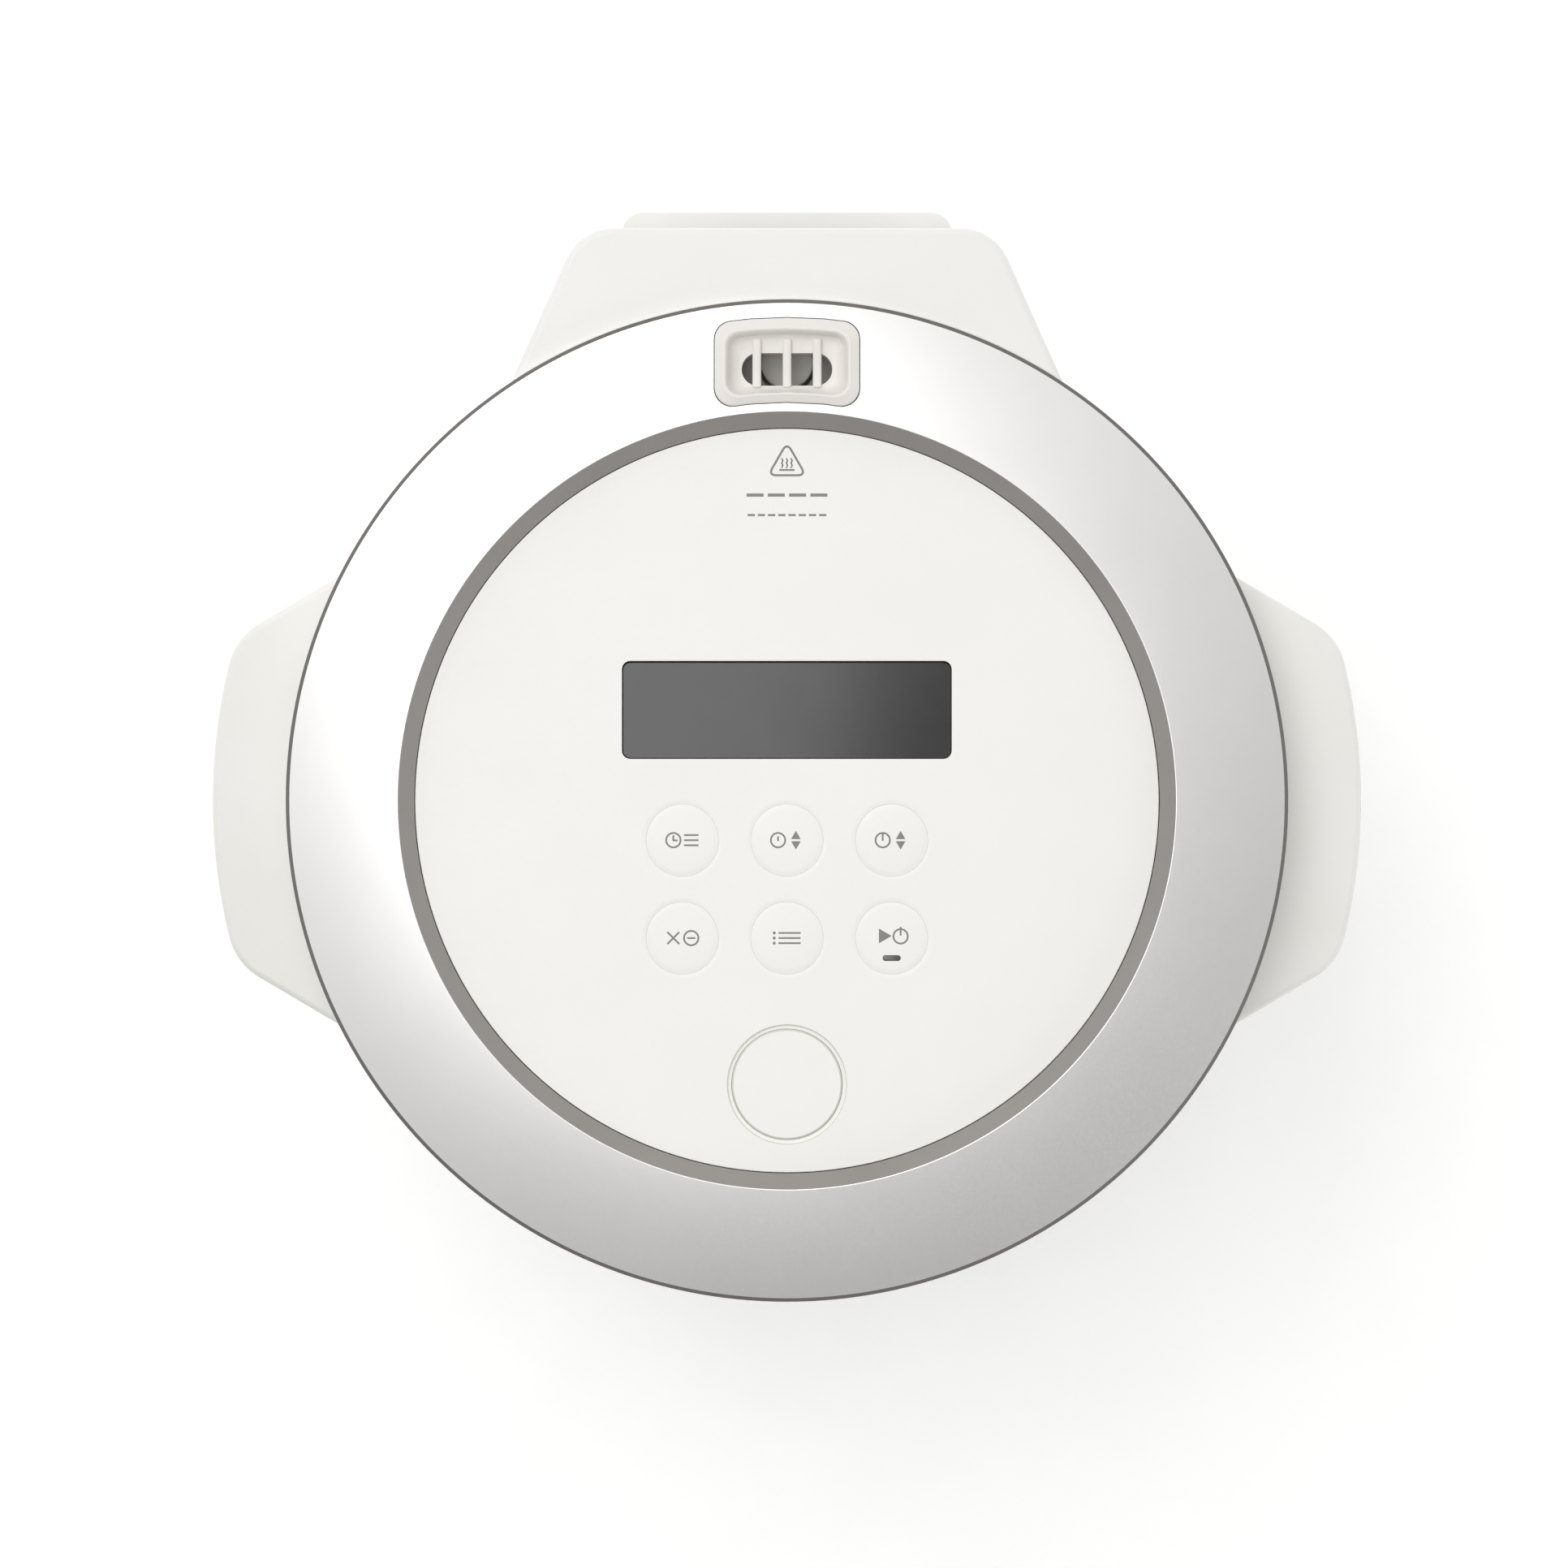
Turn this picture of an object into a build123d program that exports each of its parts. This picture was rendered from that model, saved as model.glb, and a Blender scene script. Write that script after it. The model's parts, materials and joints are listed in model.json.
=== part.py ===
"""Small electric rice cooker, modelled in millimetres.

X is to the right, Y to the rear and Z up. The origin is the bottom centre of the bounding box,
and the pot, the lid and its ring share one upright axis at POT_Y.
"""

from build123d import *
import math
import os

os.makedirs("parts", exist_ok=True)

# Driving dimensions ---------------------------------------------------------------------------
LID_R = 118.0
REAR_REACH = 141.0
POT_Y = (LID_R - REAR_REACH) / 2
GRIP_R = 137.0

FOOT_H = 3.0
BASE_TOP = 6.0
SHELL_TOP = 150.0
SHOULDER_TOP = 160.0
LID_BOTTOM = 161.5
RING_BOTTOM = 175.0
RING_EDGE = 183.6
RING_CREST = 189.4
RING_CREST_R = 91.3
RING_MID_R = 104.8
RING_MID = 186.85
RING_INNER_R = 87.6
PANEL_TOP = 185.8
PANEL_BOTTOM = 183.4
PANEL_R = 87.4
CAP_RISE = 0.6

WALL = 2.5
RUNNING = 0.1
APART = 0.3

# Rear of the lid and of the body, seen from above
TAIL_REAR = 135.0
TAIL_FRONT = 60.0
TAIL_REAR_HALF = 48.85
TAIL_SLOPE = 0.4453
TAIL_CORNER_R = 12.5

# Hinge
HINGE_Y = 127.0
HINGE_Z = 160.0
KNUCKLE_R = 5.0
HINGE_PIN_R = 2.45
BORE_R = 2.5

# Inner pot
POT_R = 84.0
POT_WALL = 2.0
POT_BOTTOM = 54.0
POT_RIM = 150.5
POT_FLANGE_R = 92.0
POT_CORNER_R = 22.0

# Keys and the open button
KEY_R = 8.5
KEY_COLUMNS = (-24.6, 0.0, 24.6)
KEY_ROWS = (-9.3, -32.3)
BUTTON_Y = -66.7
BUTTON_R = 13.0
BUTTON_HOLE_R = 14.0

# Display
DISPLAY_W = 77.3
DISPLAY_D = 22.65
DISPLAY_Y = 21.2

# Steam cap
CAP_HALF_W = 17.0
CAP_FRONT_R = 93.5
CAP_REAR_R = 113.5
CAP_CORNER_R = 4.3
CAP_BOTTOM = 172.0
STEAM_Y = 62.0

# Latch
LATCH_Y = -105.0
LATCH_Z = 170.0
LATCH_PIN_R = 1.95

# Dew tray and mains inlet, both at the back
TRAY_HALF_W = 39.6
TRAY_FRONT = 114.2
TRAY_BOTTOM = 118.0
TRAY_TOP = 148.0
TRAY_LIP_FRONT = 135.4
TRAY_LIP_BOTTOM = 146.2
INLET_Z = 32.0

POT_AXIS = Axis((0, POT_Y, 0), (0, 0, 1))
PROFILE = Plane(origin=(0, POT_Y, 0), x_dir=(1, 0, 0), z_dir=(0, -1, 0))
SIDE = Plane(origin=(0, POT_Y, 0), x_dir=(0, 1, 0), z_dir=(1, 0, 0))


# Shared shapes --------------------------------------------------------------------------------
def level(height, x=0.0, y=0.0):
    """Horizontal plane at a height, with its origin on the pot's axis or beside it."""
    return Plane(origin=(x, POT_Y + y, height))


def turn(points, mode=Mode.ADD):
    """Revolve a closed outline of (radius, height) points about the pot's axis."""
    with BuildSketch(PROFILE) as outline:
        with BuildLine():
            Polyline(*points, close=True)
        make_face()
    revolve(outline.sketch, axis=POT_AXIS, mode=mode)


def disc(plane, radius, height, mode=Mode.ADD):
    """Plain round block that stands on a plane."""
    with BuildSketch(plane) as outline:
        Circle(radius)
    extrude(outline.sketch, amount=height, mode=mode)


def block(plane, width, depth, height, corner=0.0, mode=Mode.ADD):
    """Rectangular block that stands on a plane, with rounded upright corners if asked."""
    with BuildSketch(plane) as outline:
        if corner > 0:
            RectangleRounded(width, depth, corner)
        else:
            Rectangle(width, depth)
    extrude(outline.sketch, amount=height, mode=mode)


def side_shape(points, half_width, mode=Mode.ADD):
    """Extrude an outline of (depth, height) points equally to both sides of the middle."""
    with BuildSketch(SIDE) as outline:
        with BuildLine():
            Polyline(*points, close=True)
        make_face()
    extrude(outline.sketch, amount=half_width, both=True, mode=mode)


def side_rod(x_from, x_to, y, z, radius, mode=Mode.ADD):
    """Round rod along X between two widths."""
    with BuildSketch(Plane(origin=(x_from, POT_Y + y, z), x_dir=(0, 1, 0), z_dir=(1, 0, 0))) as outline:
        Circle(radius)
    extrude(outline.sketch, amount=x_to - x_from, mode=mode)


def tail_half_width(y):
    """Half width of the tapering rear at a depth behind the pot's axis."""
    return TAIL_REAR_HALF + TAIL_SLOPE * (TAIL_REAR - y)


def tail_plan(plane, inset):
    """Tapering outline of the rear, seen from above, drawn in by an inset."""
    front = tail_half_width(TAIL_FRONT)
    with BuildSketch(plane) as outline:
        with BuildLine():
            Polyline(
                (-front, TAIL_FRONT), (front, TAIL_FRONT),
                (TAIL_REAR_HALF, TAIL_REAR), (-TAIL_REAR_HALF, TAIL_REAR), close=True,
            )
        make_face()
        fillet(outline.vertices().group_by(Axis.Y)[-1], TAIL_CORNER_R)
        if inset > 0:
            offset(amount=-inset, kind=Kind.INTERSECTION)
    return outline.sketch


def cap_plan(plane, inset):
    """Outline of the steam cap: a piece of the ring's band with rounded corners."""
    with BuildSketch(plane) as outline:
        Circle(CAP_REAR_R - inset)
        Circle(CAP_FRONT_R + inset, mode=Mode.SUBTRACT)
        with Locations((0, CAP_REAR_R)):
            Rectangle(2 * (CAP_HALF_W - inset), 60, mode=Mode.INTERSECT)
        fillet(outline.vertices(), CAP_CORNER_R - inset / 2)
    return outline.sketch


def dome_outline(rise, radius_from, radius_to, floor):
    """Closed outline under the lid ring's domed top, lifted by a rise."""
    with BuildSketch(PROFILE) as outline:
        with BuildLine():
            ThreePointArc(
                (RING_CREST_R, RING_CREST + rise), (RING_MID_R, RING_MID + rise), (LID_R - 0.7, RING_EDGE + rise)
            )
            Line((LID_R - 0.7, RING_EDGE + rise), (radius_to, RING_EDGE + rise - 0.8))
            Line((radius_to, RING_EDGE + rise - 0.8), (radius_to, floor))
            Line((radius_to, floor), (radius_from, floor))
            Line((radius_from, floor), (radius_from, RING_CREST + rise))
            Line((radius_from, RING_CREST + rise), (RING_CREST_R, RING_CREST + rise))
        make_face()
    return outline.sketch


def coil(x, y, bottom, top, radius, wire, turns):
    """Upright compression spring."""
    height = top - bottom - wire
    spiral = Helix(
        pitch=height / turns, height=height, radius=radius, center=(x, POT_Y + y, bottom + wire / 2)
    )
    with BuildPart() as spring:
        with BuildSketch(Plane(origin=spiral @ 0, z_dir=spiral % 0)):
            Circle(wire / 2)
        sweep(path=spiral, is_frenet=True)
    return spring


def side_coil(x_from, x_to, y, z, radius, wire, turns):
    """Torsion spring wound around an axis along X."""
    width = x_to - x_from - wire
    spiral = Helix(
        pitch=width / turns, height=width, radius=radius,
        center=(x_from + wire / 2, POT_Y + y, z), direction=(1, 0, 0),
    )
    with BuildPart() as spring:
        with BuildSketch(Plane(origin=spiral @ 0, z_dir=spiral % 0)):
            Circle(wire / 2)
        sweep(path=spiral, is_frenet=True)
    return spring


def screws(places, seat, length, head_r, shank_r, up):
    """Group of pan-head screws whose heads seat at a height, pointing up or down."""
    way = 1 if up else -1
    with BuildPart() as group:
        for x, y in places:
            head = Plane(origin=(x, POT_Y + y, seat), z_dir=(0, 0, -way))
            disc(head, head_r, 1.6)
            disc(Plane(origin=(x, POT_Y + y, seat), z_dir=(0, 0, way)), shank_r, length)
            slot = Plane(origin=(x, POT_Y + y, seat - way * 0.9), z_dir=(0, 0, -way))
            block(slot, head_r, 0.6, 1.0, mode=Mode.SUBTRACT)
            block(slot, 0.6, head_r, 1.0, mode=Mode.SUBTRACT)
    return group


def keep(piece, name):
    """Label a finished piece and write it under its node name."""
    piece.part.label = name
    export_step(piece.part, f"parts/{name}.step")


# Body: shell, shoulder and grips --------------------------------------------------------------
COLUMN_INSET = 1.5
SHELL_TOP_R = 115.5
SHELL_BOTTOM_R = 109.8
COLUMN_TOP = 151.0
SHELL_ROUND = 9.0
SHOULDER_R = 116.8
SHOULDER_INNER_R = 93.8
SHELF_REAR = 121.5

SCREW_PLACES = [(98.5 * math.cos(math.radians(a)), 98.5 * math.sin(math.radians(a)))
                for a in (-145, -35, 35, 145)]

with BuildPart() as outer_shell:
    # rear column with a rounded foot, then the round body
    extrude(tail_plan(level(BASE_TOP), COLUMN_INSET), amount=COLUMN_TOP - BASE_TOP)
    foot_edges = outer_shell.edges().group_by(Axis.Z)[0].sort_by(Axis.Y)[1:]
    fillet(foot_edges, SHELL_ROUND - 3)
    with BuildSketch(PROFILE) as round_body:
        with BuildLine():
            Polyline(
                (0, BASE_TOP), (SHELL_BOTTOM_R, BASE_TOP), (SHELL_TOP_R, SHELL_TOP), (0, SHELL_TOP), close=True
            )
        make_face()
        fillet(round_body.vertices().sort_by(Axis.X)[-2], SHELL_ROUND)
    revolve(round_body.sketch, axis=POT_AXIS)
    # hollow inside, open at the top and below
    turn([(0, BASE_TOP + WALL), (SHELL_BOTTOM_R - 7, BASE_TOP + WALL), (SHELL_BOTTOM_R - WALL, 18),
          (SHELL_TOP_R - WALL, SHELL_TOP), (SHELL_TOP_R - WALL, 160), (0, 160)], mode=Mode.SUBTRACT)
    extrude(tail_plan(level(BASE_TOP + WALL), COLUMN_INSET + WALL), amount=SHELL_TOP - 4 - BASE_TOP,
            mode=Mode.SUBTRACT)
    disc(level(0), 97, 10, mode=Mode.SUBTRACT)
    extrude(tail_plan(level(0), 12), amount=10, mode=Mode.SUBTRACT)
    # seat for the shoulder frame
    disc(level(SHELL_TOP), SHOULDER_R + RUNNING, 10, mode=Mode.SUBTRACT)
    # pocket for the dew tray, open to the rear, with a drip slot above it
    pocket_y = (112 + 132) / 2
    block(level(115, 0, pocket_y), 84, 20, 34)
    block(level(117, 0, 129), 2 * TRAY_HALF_W + 1.6, 31, 32, mode=Mode.SUBTRACT)
    block(level(145, 0, 118.2), 30, 3, 10, corner=1.4, mode=Mode.SUBTRACT)
    # hole for the mains inlet in the rear wall
    block(level(INLET_Z - 10, 0, 132), 34, 10, 20, mode=Mode.SUBTRACT)
    # screw bosses that stand on the lower lip
    for x, y in SCREW_PLACES:
        disc(level(BASE_TOP, x, y), 4.5, 24)
        disc(level(BASE_TOP, x, y), 1.6, 20, mode=Mode.SUBTRACT)
keep(outer_shell, "outer_shell")

with BuildPart() as shoulder_frame:
    # rear shelf in front of the hinge
    extrude(tail_plan(level(COLUMN_TOP), COLUMN_INSET), amount=SHOULDER_TOP - COLUMN_TOP - 0.2)
    extrude(tail_plan(level(COLUMN_TOP - 1), COLUMN_INSET + WALL), amount=SHOULDER_TOP - COLUMN_TOP - 1.7,
            mode=Mode.SUBTRACT)
    block(level(COLUMN_TOP - 2, 0, SHELF_REAR + 20), 160, 40, 20, mode=Mode.SUBTRACT)
    block(level(COLUMN_TOP, 0, SHELF_REAR - 1), 2 * tail_half_width(SHELF_REAR) - 8, 2, 8.5)
    disc(level(COLUMN_TOP - 2), SHOULDER_R - 0.3, 20, mode=Mode.SUBTRACT)
    # ring that the lid shuts on, with a funnel down to the pot's flange
    turn([(SHELL_TOP_R, SHELL_TOP), (SHOULDER_R, 153), (SHOULDER_R, 159.2), (116, SHOULDER_TOP),
          (98.2, SHOULDER_TOP), (SHOULDER_INNER_R, 155.5), (SHOULDER_INNER_R, 148.5), (96.3, 148.5),
          (96.3, 156), (98.5, 157.5), (114.2, 157.5), (SHELL_TOP_R - WALL, SHELL_TOP)])
    # slot for the latch hook
    block(level(150, 0, -106.75), 24, 8.5, 20, mode=Mode.SUBTRACT)
keep(shoulder_frame, "shoulder_frame")

GRIP_BOTTOM = 146.0
GRIP_CORNER = (131.3, 39.0)
GRIP_CORNER_R = 15.5
GRIP_ROOT = (100.0, 57.5)


def grip_plan(plane, side, inset):
    """Outline of a side grip: a wedge whose outer edge runs round the pot's axis."""
    outer = GRIP_R - inset
    reach = math.hypot(*GRIP_CORNER)
    corner = (GRIP_CORNER[0] * outer / reach, (GRIP_CORNER[1] - inset * 0.8) * outer / reach)
    root = (GRIP_ROOT[0], GRIP_ROOT[1] - inset * 1.3)
    with BuildSketch(plane) as outline:
        with BuildLine():
            Line((side * root[0], root[1]), (side * corner[0], corner[1]))
            ThreePointArc((side * corner[0], corner[1]), (side * outer, 0), (side * corner[0], -corner[1]))
            Line((side * corner[0], -corner[1]), (side * root[0], -root[1]))
            Line((side * root[0], -root[1]), (side * root[0], root[1]))
        make_face()
        corners = outline.vertices().filter_by(lambda v: abs(v.X) > GRIP_ROOT[0] + 5)
        fillet(corners, GRIP_CORNER_R - inset)
    return outline.sketch


for grip_name, side in (("grip_left", -1), ("grip_right", 1)):
    with BuildPart() as grip:
        extrude(grip_plan(level(GRIP_BOTTOM), side, 0), amount=SHOULDER_TOP - GRIP_BOTTOM)
        fillet(grip.edges().group_by(Axis.Z)[-1], 1.5)
        extrude(grip_plan(level(GRIP_BOTTOM), side, WALL), amount=SHOULDER_TOP - GRIP_BOTTOM - WALL,
                mode=Mode.SUBTRACT)
        # inner wall that follows the shoulder
        with BuildSketch(level(GRIP_BOTTOM)) as inner_wall:
            Circle(SHOULDER_R + WALL)
            add(grip_plan(level(GRIP_BOTTOM), side, 0.5), mode=Mode.INTERSECT)
        extrude(inner_wall.sketch, amount=SHOULDER_TOP - GRIP_BOTTOM - 1)
        disc(level(GRIP_BOTTOM - 1), SHOULDER_R, 20, mode=Mode.SUBTRACT)
    keep(grip, grip_name)

# Base plate, feet and screws ------------------------------------------------------------------
with BuildPart() as base_plate:
    disc(level(FOOT_H), 101, BASE_TOP - FOOT_H)
    extrude(tail_plan(level(FOOT_H), 9), amount=BASE_TOP - FOOT_H)
    for x, y in SCREW_PLACES:
        disc(level(FOOT_H, x, y), 2.0, 5, mode=Mode.SUBTRACT)
        disc(level(FOOT_H, x, y), 4.0, 1.8, mode=Mode.SUBTRACT)
    # air slots under the board
    for row in range(5):
        block(level(FOOT_H, 0, 40 + 9 * row), 44, 3, 5, corner=1.4, mode=Mode.SUBTRACT)
keep(base_plate, "base_plate")

with BuildPart() as rubber_feet:
    for x in (-62, 62):
        for y in (-62, 70):
            disc(level(0, x, y), 9, FOOT_H)
    fillet(rubber_feet.edges().group_by(Axis.Z)[0], 0.8)
keep(rubber_feet, "rubber_feet")

base_screws = screws(SCREW_PLACES, FOOT_H + 1.8, 16, 3.4, 1.55, up=True)
keep(base_screws, "base_screws")

# Heating ---------------------------------------------------------------------------------------
with BuildPart() as inner_housing:
    turn([(20, 42), (89, 42), (89, 147.5), (97, 147.5), (97, 148.5), (88, 148.5), (88, 43), (20, 43)])
keep(inner_housing, "inner_housing")

with BuildPart() as warming_band:
    turn([(89, 92), (90.2, 92), (90.2, 132), (89, 132)])
    block(level(90, 89.5, 0), 6, 12, 44, mode=Mode.SUBTRACT)
keep(warming_band, "warming_band")

with BuildPart() as inner_pot:
    with BuildSketch(PROFILE) as pot_wall:
        with BuildLine():
            Polyline(
                (0, POT_BOTTOM), (POT_R, POT_BOTTOM), (POT_R, POT_RIM - 1.6), (POT_FLANGE_R, POT_RIM - 1.6),
                (POT_FLANGE_R, POT_RIM), (POT_R - POT_WALL, POT_RIM), (POT_R - POT_WALL, POT_BOTTOM + POT_WALL),
                (0, POT_BOTTOM + POT_WALL), close=True,
            )
        make_face()
        fillet(pot_wall.vertices().filter_by(lambda v: v.X > 70 and v.Y < POT_BOTTOM + 1), POT_CORNER_R)
        fillet(pot_wall.vertices().filter_by(lambda v: 81 < v.X < 83 and v.Y < 60), POT_CORNER_R - POT_WALL)
    revolve(pot_wall.sketch, axis=POT_AXIS)
keep(inner_pot, "inner_pot")

with BuildPart() as heater_plate:
    disc(level(46.5), 61, POT_BOTTOM - 46.5)
    disc(level(40), 15, 20, mode=Mode.SUBTRACT)
    # three posts down to the housing
    for angle in (30, 150, 270):
        x = 56 * math.cos(math.radians(angle))
        y = 56 * math.sin(math.radians(angle))
        disc(level(43, x, y), 3.5, 4)
keep(heater_plate, "heater_plate")

with BuildPart() as heater_element:
    with BuildSketch(PROFILE) as tube:
        with Locations((42, 44.9)):
            RectangleRounded(7, 3.2, 1.2)
    revolve(tube.sketch, axis=POT_AXIS, revolution_arc=330)
keep(heater_element, "heater_element")

with BuildPart() as sensor_holder:
    turn([(9, 32), (13, 32), (13, 40.8), (22, 40.8), (22, 42), (11.5, 42), (11.5, 33.5), (9, 33.5)])
keep(sensor_holder, "sensor_holder")

with BuildPart() as sensor_cap:
    turn([(0, 51.7), (12.5, 51.7), (12.5, 44), (14, 44), (14, 53), (13.3, 53.7), (0, 53.7)])
keep(sensor_cap, "sensor_cap")

sensor_spring = coil(0, 0, 33.6, 51.6, 9.9, 1.2, 5)
keep(sensor_spring, "sensor_spring")

with BuildPart() as thermal_fuse:
    block(level(37.5, 45, 20), 14, 7, 4.4, corner=1.5)
keep(thermal_fuse, "thermal_fuse")

# Power board and mains inlet --------------------------------------------------------------------
BOARD_Y = 101.6
with BuildPart() as board_bracket:
    block(level(BASE_TOP, 0, BOARD_Y - 4), 72, 14, 2)
    block(level(BASE_TOP, 0, BOARD_Y - 3.1), 72, 3, 104 - BASE_TOP)
    block(level(30, 0, BOARD_Y - 3.1), 50, 10, 60, mode=Mode.SUBTRACT)
keep(board_bracket, "board_bracket")

with BuildPart() as power_board:
    block(level(54, 0, BOARD_Y - 0.8), 70, 1.6, 54)
keep(power_board, "power_board")

with BuildPart() as transformer:
    block(level(60, -16, BOARD_Y + 9), 27, 18, 24, corner=1)
    block(level(64, -16, BOARD_Y + 9), 33, 14, 16, corner=2)
keep(transformer, "transformer")

with BuildPart() as power_relay:
    block(level(60, 16, BOARD_Y + 7), 20, 14, 18, corner=0.8)
keep(power_relay, "power_relay")

with BuildPart() as inlet_socket:
    block(level(INLET_Z - 9.7, 0, 124.3), 33.4, 18, 19.4)
    block(level(INLET_Z - 8, 0, 126.3), 30, 18, 16, mode=Mode.SUBTRACT)
    for x in (-7, 7):
        with BuildSketch(Plane(origin=(x, POT_Y + 110, INLET_Z), x_dir=(1, 0, 0), z_dir=(0, 1, 0))) as hole:
            Circle(2.0)
        extrude(hole.sketch, amount=12, mode=Mode.SUBTRACT)
keep(inlet_socket, "inlet_socket")

with BuildPart() as inlet_pins:
    for x in (-7, 7):
        with BuildSketch(Plane(origin=(x, POT_Y + 109, INLET_Z), x_dir=(1, 0, 0), z_dir=(0, 1, 0))) as rod:
            Circle(1.95)
        extrude(rod.sketch, amount=17.5)
    fillet(inlet_pins.edges().group_by(Axis.Y)[-1], 0.9)
keep(inlet_pins, "inlet_pins")

LEAD_R = 1.3
with BuildPart() as heater_leads:
    for x in (-14, 14):
        with BuildLine() as route:
            FilletPolyline(
                (x, POT_Y + 92, 56), (x, POT_Y + 92, 34), (x * 1.1, POT_Y + 60, 30), (x * 1.2, POT_Y + 38, 30),
                (x * 1.2, POT_Y + 38, 41.8), radius=8,
            )
        with BuildSketch(Plane(origin=route.line @ 0, z_dir=route.line % 0)):
            Circle(LEAD_R)
        sweep(path=route.line)
keep(heater_leads, "heater_leads")

# Hinge -------------------------------------------------------------------------------------------
BODY_KNUCKLES = ((-40.0, -27.3), (-16.7, -13.5), (13.5, 16.7), (27.3, 40.0))
ARM_SPANS = ((-27.0, -17.0), (17.0, 27.0))

with BuildPart() as hinge_bracket:
    block(level(COLUMN_TOP, 0, 124.3), 80, 4.4, 2.5)
    for x_from, x_to in BODY_KNUCKLES:
        side_rod(x_from, x_to, HINGE_Y, HINGE_Z, KNUCKLE_R)
        block(level(COLUMN_TOP, (x_from + x_to) / 2, 124.3), x_to - x_from, 4.4, 8)
    side_rod(-50, 50, HINGE_Y, HINGE_Z, BORE_R, mode=Mode.SUBTRACT)
keep(hinge_bracket, "hinge_bracket")

with BuildPart() as hinge_pin:
    side_rod(-39.5, 39.5, HINGE_Y, HINGE_Z, HINGE_PIN_R)
    chamfer(hinge_pin.edges().filter_by(GeomType.CIRCLE), 0.5)
keep(hinge_pin, "hinge_pin")

hinge_spring = side_coil(-13.2, 13.2, HINGE_Y, HINGE_Z, 3.7, 1.1, 14)
keep(hinge_spring, "hinge_spring")

with BuildPart() as hinge_arms:
    for x_from, x_to in ARM_SPANS:
        side_rod(x_from, x_to, HINGE_Y, HINGE_Z, KNUCKLE_R)
        middle = (x_from + x_to) / 2
        block(level(163.5, middle, 109.5), x_to - x_from, 31, 1.5)
        block(level(163.5, middle, 115), 2.5, 18, 4.5)
    side_rod(-50, 50, HINGE_Y, HINGE_Z, BORE_R, mode=Mode.SUBTRACT)
keep(hinge_arms, "hinge_arms")

# Catch on the shoulder ---------------------------------------------------------------------------
with BuildPart() as catch_plate:
    block(level(156, 0, -101), 22, 4, 1.5)
keep(catch_plate, "catch_plate")

# Dew tray ----------------------------------------------------------------------------------------
with BuildPart() as dew_tray:
    tray_y = (TRAY_FRONT + REAR_REACH) / 2
    tray_depth = REAR_REACH - TRAY_FRONT
    block(level(TRAY_BOTTOM, 0, tray_y), 2 * TRAY_HALF_W, tray_depth, TRAY_TOP - TRAY_BOTTOM)
    rear_corners = dew_tray.edges().filter_by(Axis.Z).group_by(Axis.Y)[-1]
    fillet(rear_corners, 5)
    fillet(dew_tray.edges().group_by(Axis.Z)[0], 1.5)
    block(level(TRAY_BOTTOM + 1.8, 0, tray_y), 2 * TRAY_HALF_W - 3.6, tray_depth - 3.6,
          TRAY_LIP_BOTTOM - TRAY_BOTTOM - 1.8, corner=3.4, mode=Mode.SUBTRACT)
    # mouth, which leaves a lip along the rear to pull by
    mouth_front = TRAY_FRONT + 1.8
    block(level(TRAY_LIP_BOTTOM - 1, 0, (mouth_front + TRAY_LIP_FRONT) / 2), 2 * TRAY_HALF_W - 3.6,
          TRAY_LIP_FRONT - mouth_front, 10, corner=1.2, mode=Mode.SUBTRACT)
    # step along the front of the lip
    block(level(TRAY_TOP - 0.9, 0, TRAY_LIP_FRONT - 1.4), 2 * TRAY_HALF_W - 3.6, 5, 5, mode=Mode.SUBTRACT)
keep(dew_tray, "dew_tray")

# Lid: base, rear cover and ring --------------------------------------------------------------------
LID_BASE_R = 117.0
PLUG_BOTTOM = 153.0
BOSS_TOP = 165.5
HEAD_SEAT = 163.3
LID_SCREW_PLACES = [(106 * math.cos(math.radians(a)), 106 * math.sin(math.radians(a)))
                    for a in (15, 55, 125, 165, 232, 308)]

with BuildPart() as lid_base:
    turn([(LID_BASE_R - 0.8, LID_BOTTOM), (LID_BASE_R, LID_BOTTOM + 0.8), (LID_BASE_R, RING_BOTTOM),
          (LID_BASE_R - 2.2, RING_BOTTOM), (LID_BASE_R - 2.2, 163.5), (94.6, 163.5), (90.6, 156),
          (90.6, 155), (76, 155), (76, PLUG_BOTTOM), (92.5, PLUG_BOTTOM), (92.5, 155.8), (96.8, LID_BOTTOM)])
    # way for the hinge arms, the latch hook and the steam
    block(level(163.5, 0, 112), 58, 16, 7, mode=Mode.SUBTRACT)
    block(level(150, 0, -106.5), 22, 10, 20, mode=Mode.SUBTRACT)
    # bosses for the latch pin
    for x in (-12.5, 12.5):
        block(level(163.5, x, LATCH_Y), 3, 7, 10)
    side_rod(-20, 20, LATCH_Y, LATCH_Z, LATCH_PIN_R + 0.03, mode=Mode.SUBTRACT)
    # seats for the screws that hold the ring
    for x, y in LID_SCREW_PLACES:
        disc(level(163.5, x, y), 4.5, BOSS_TOP - 163.5)
        disc(level(160, x, y), 3.3, HEAD_SEAT - 160, mode=Mode.SUBTRACT)
        disc(level(160, x, y), 1.6, 10, mode=Mode.SUBTRACT)
keep(lid_base, "lid_base")

with BuildPart() as lid_rear_cover:
    extrude(tail_plan(level(SHOULDER_TOP + 0.5), 0), amount=181 - SHOULDER_TOP - 0.5)
    top_edges = lid_rear_cover.edges().group_by(Axis.Z)[-1].sort_by(Axis.Y)[1:]
    fillet(top_edges, 1.6)
    extrude(tail_plan(level(SHOULDER_TOP), 2.2), amount=18.5, mode=Mode.SUBTRACT)
    disc(level(SHOULDER_TOP - 1), LID_R, 30, mode=Mode.SUBTRACT)
keep(lid_rear_cover, "lid_rear_cover")

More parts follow.
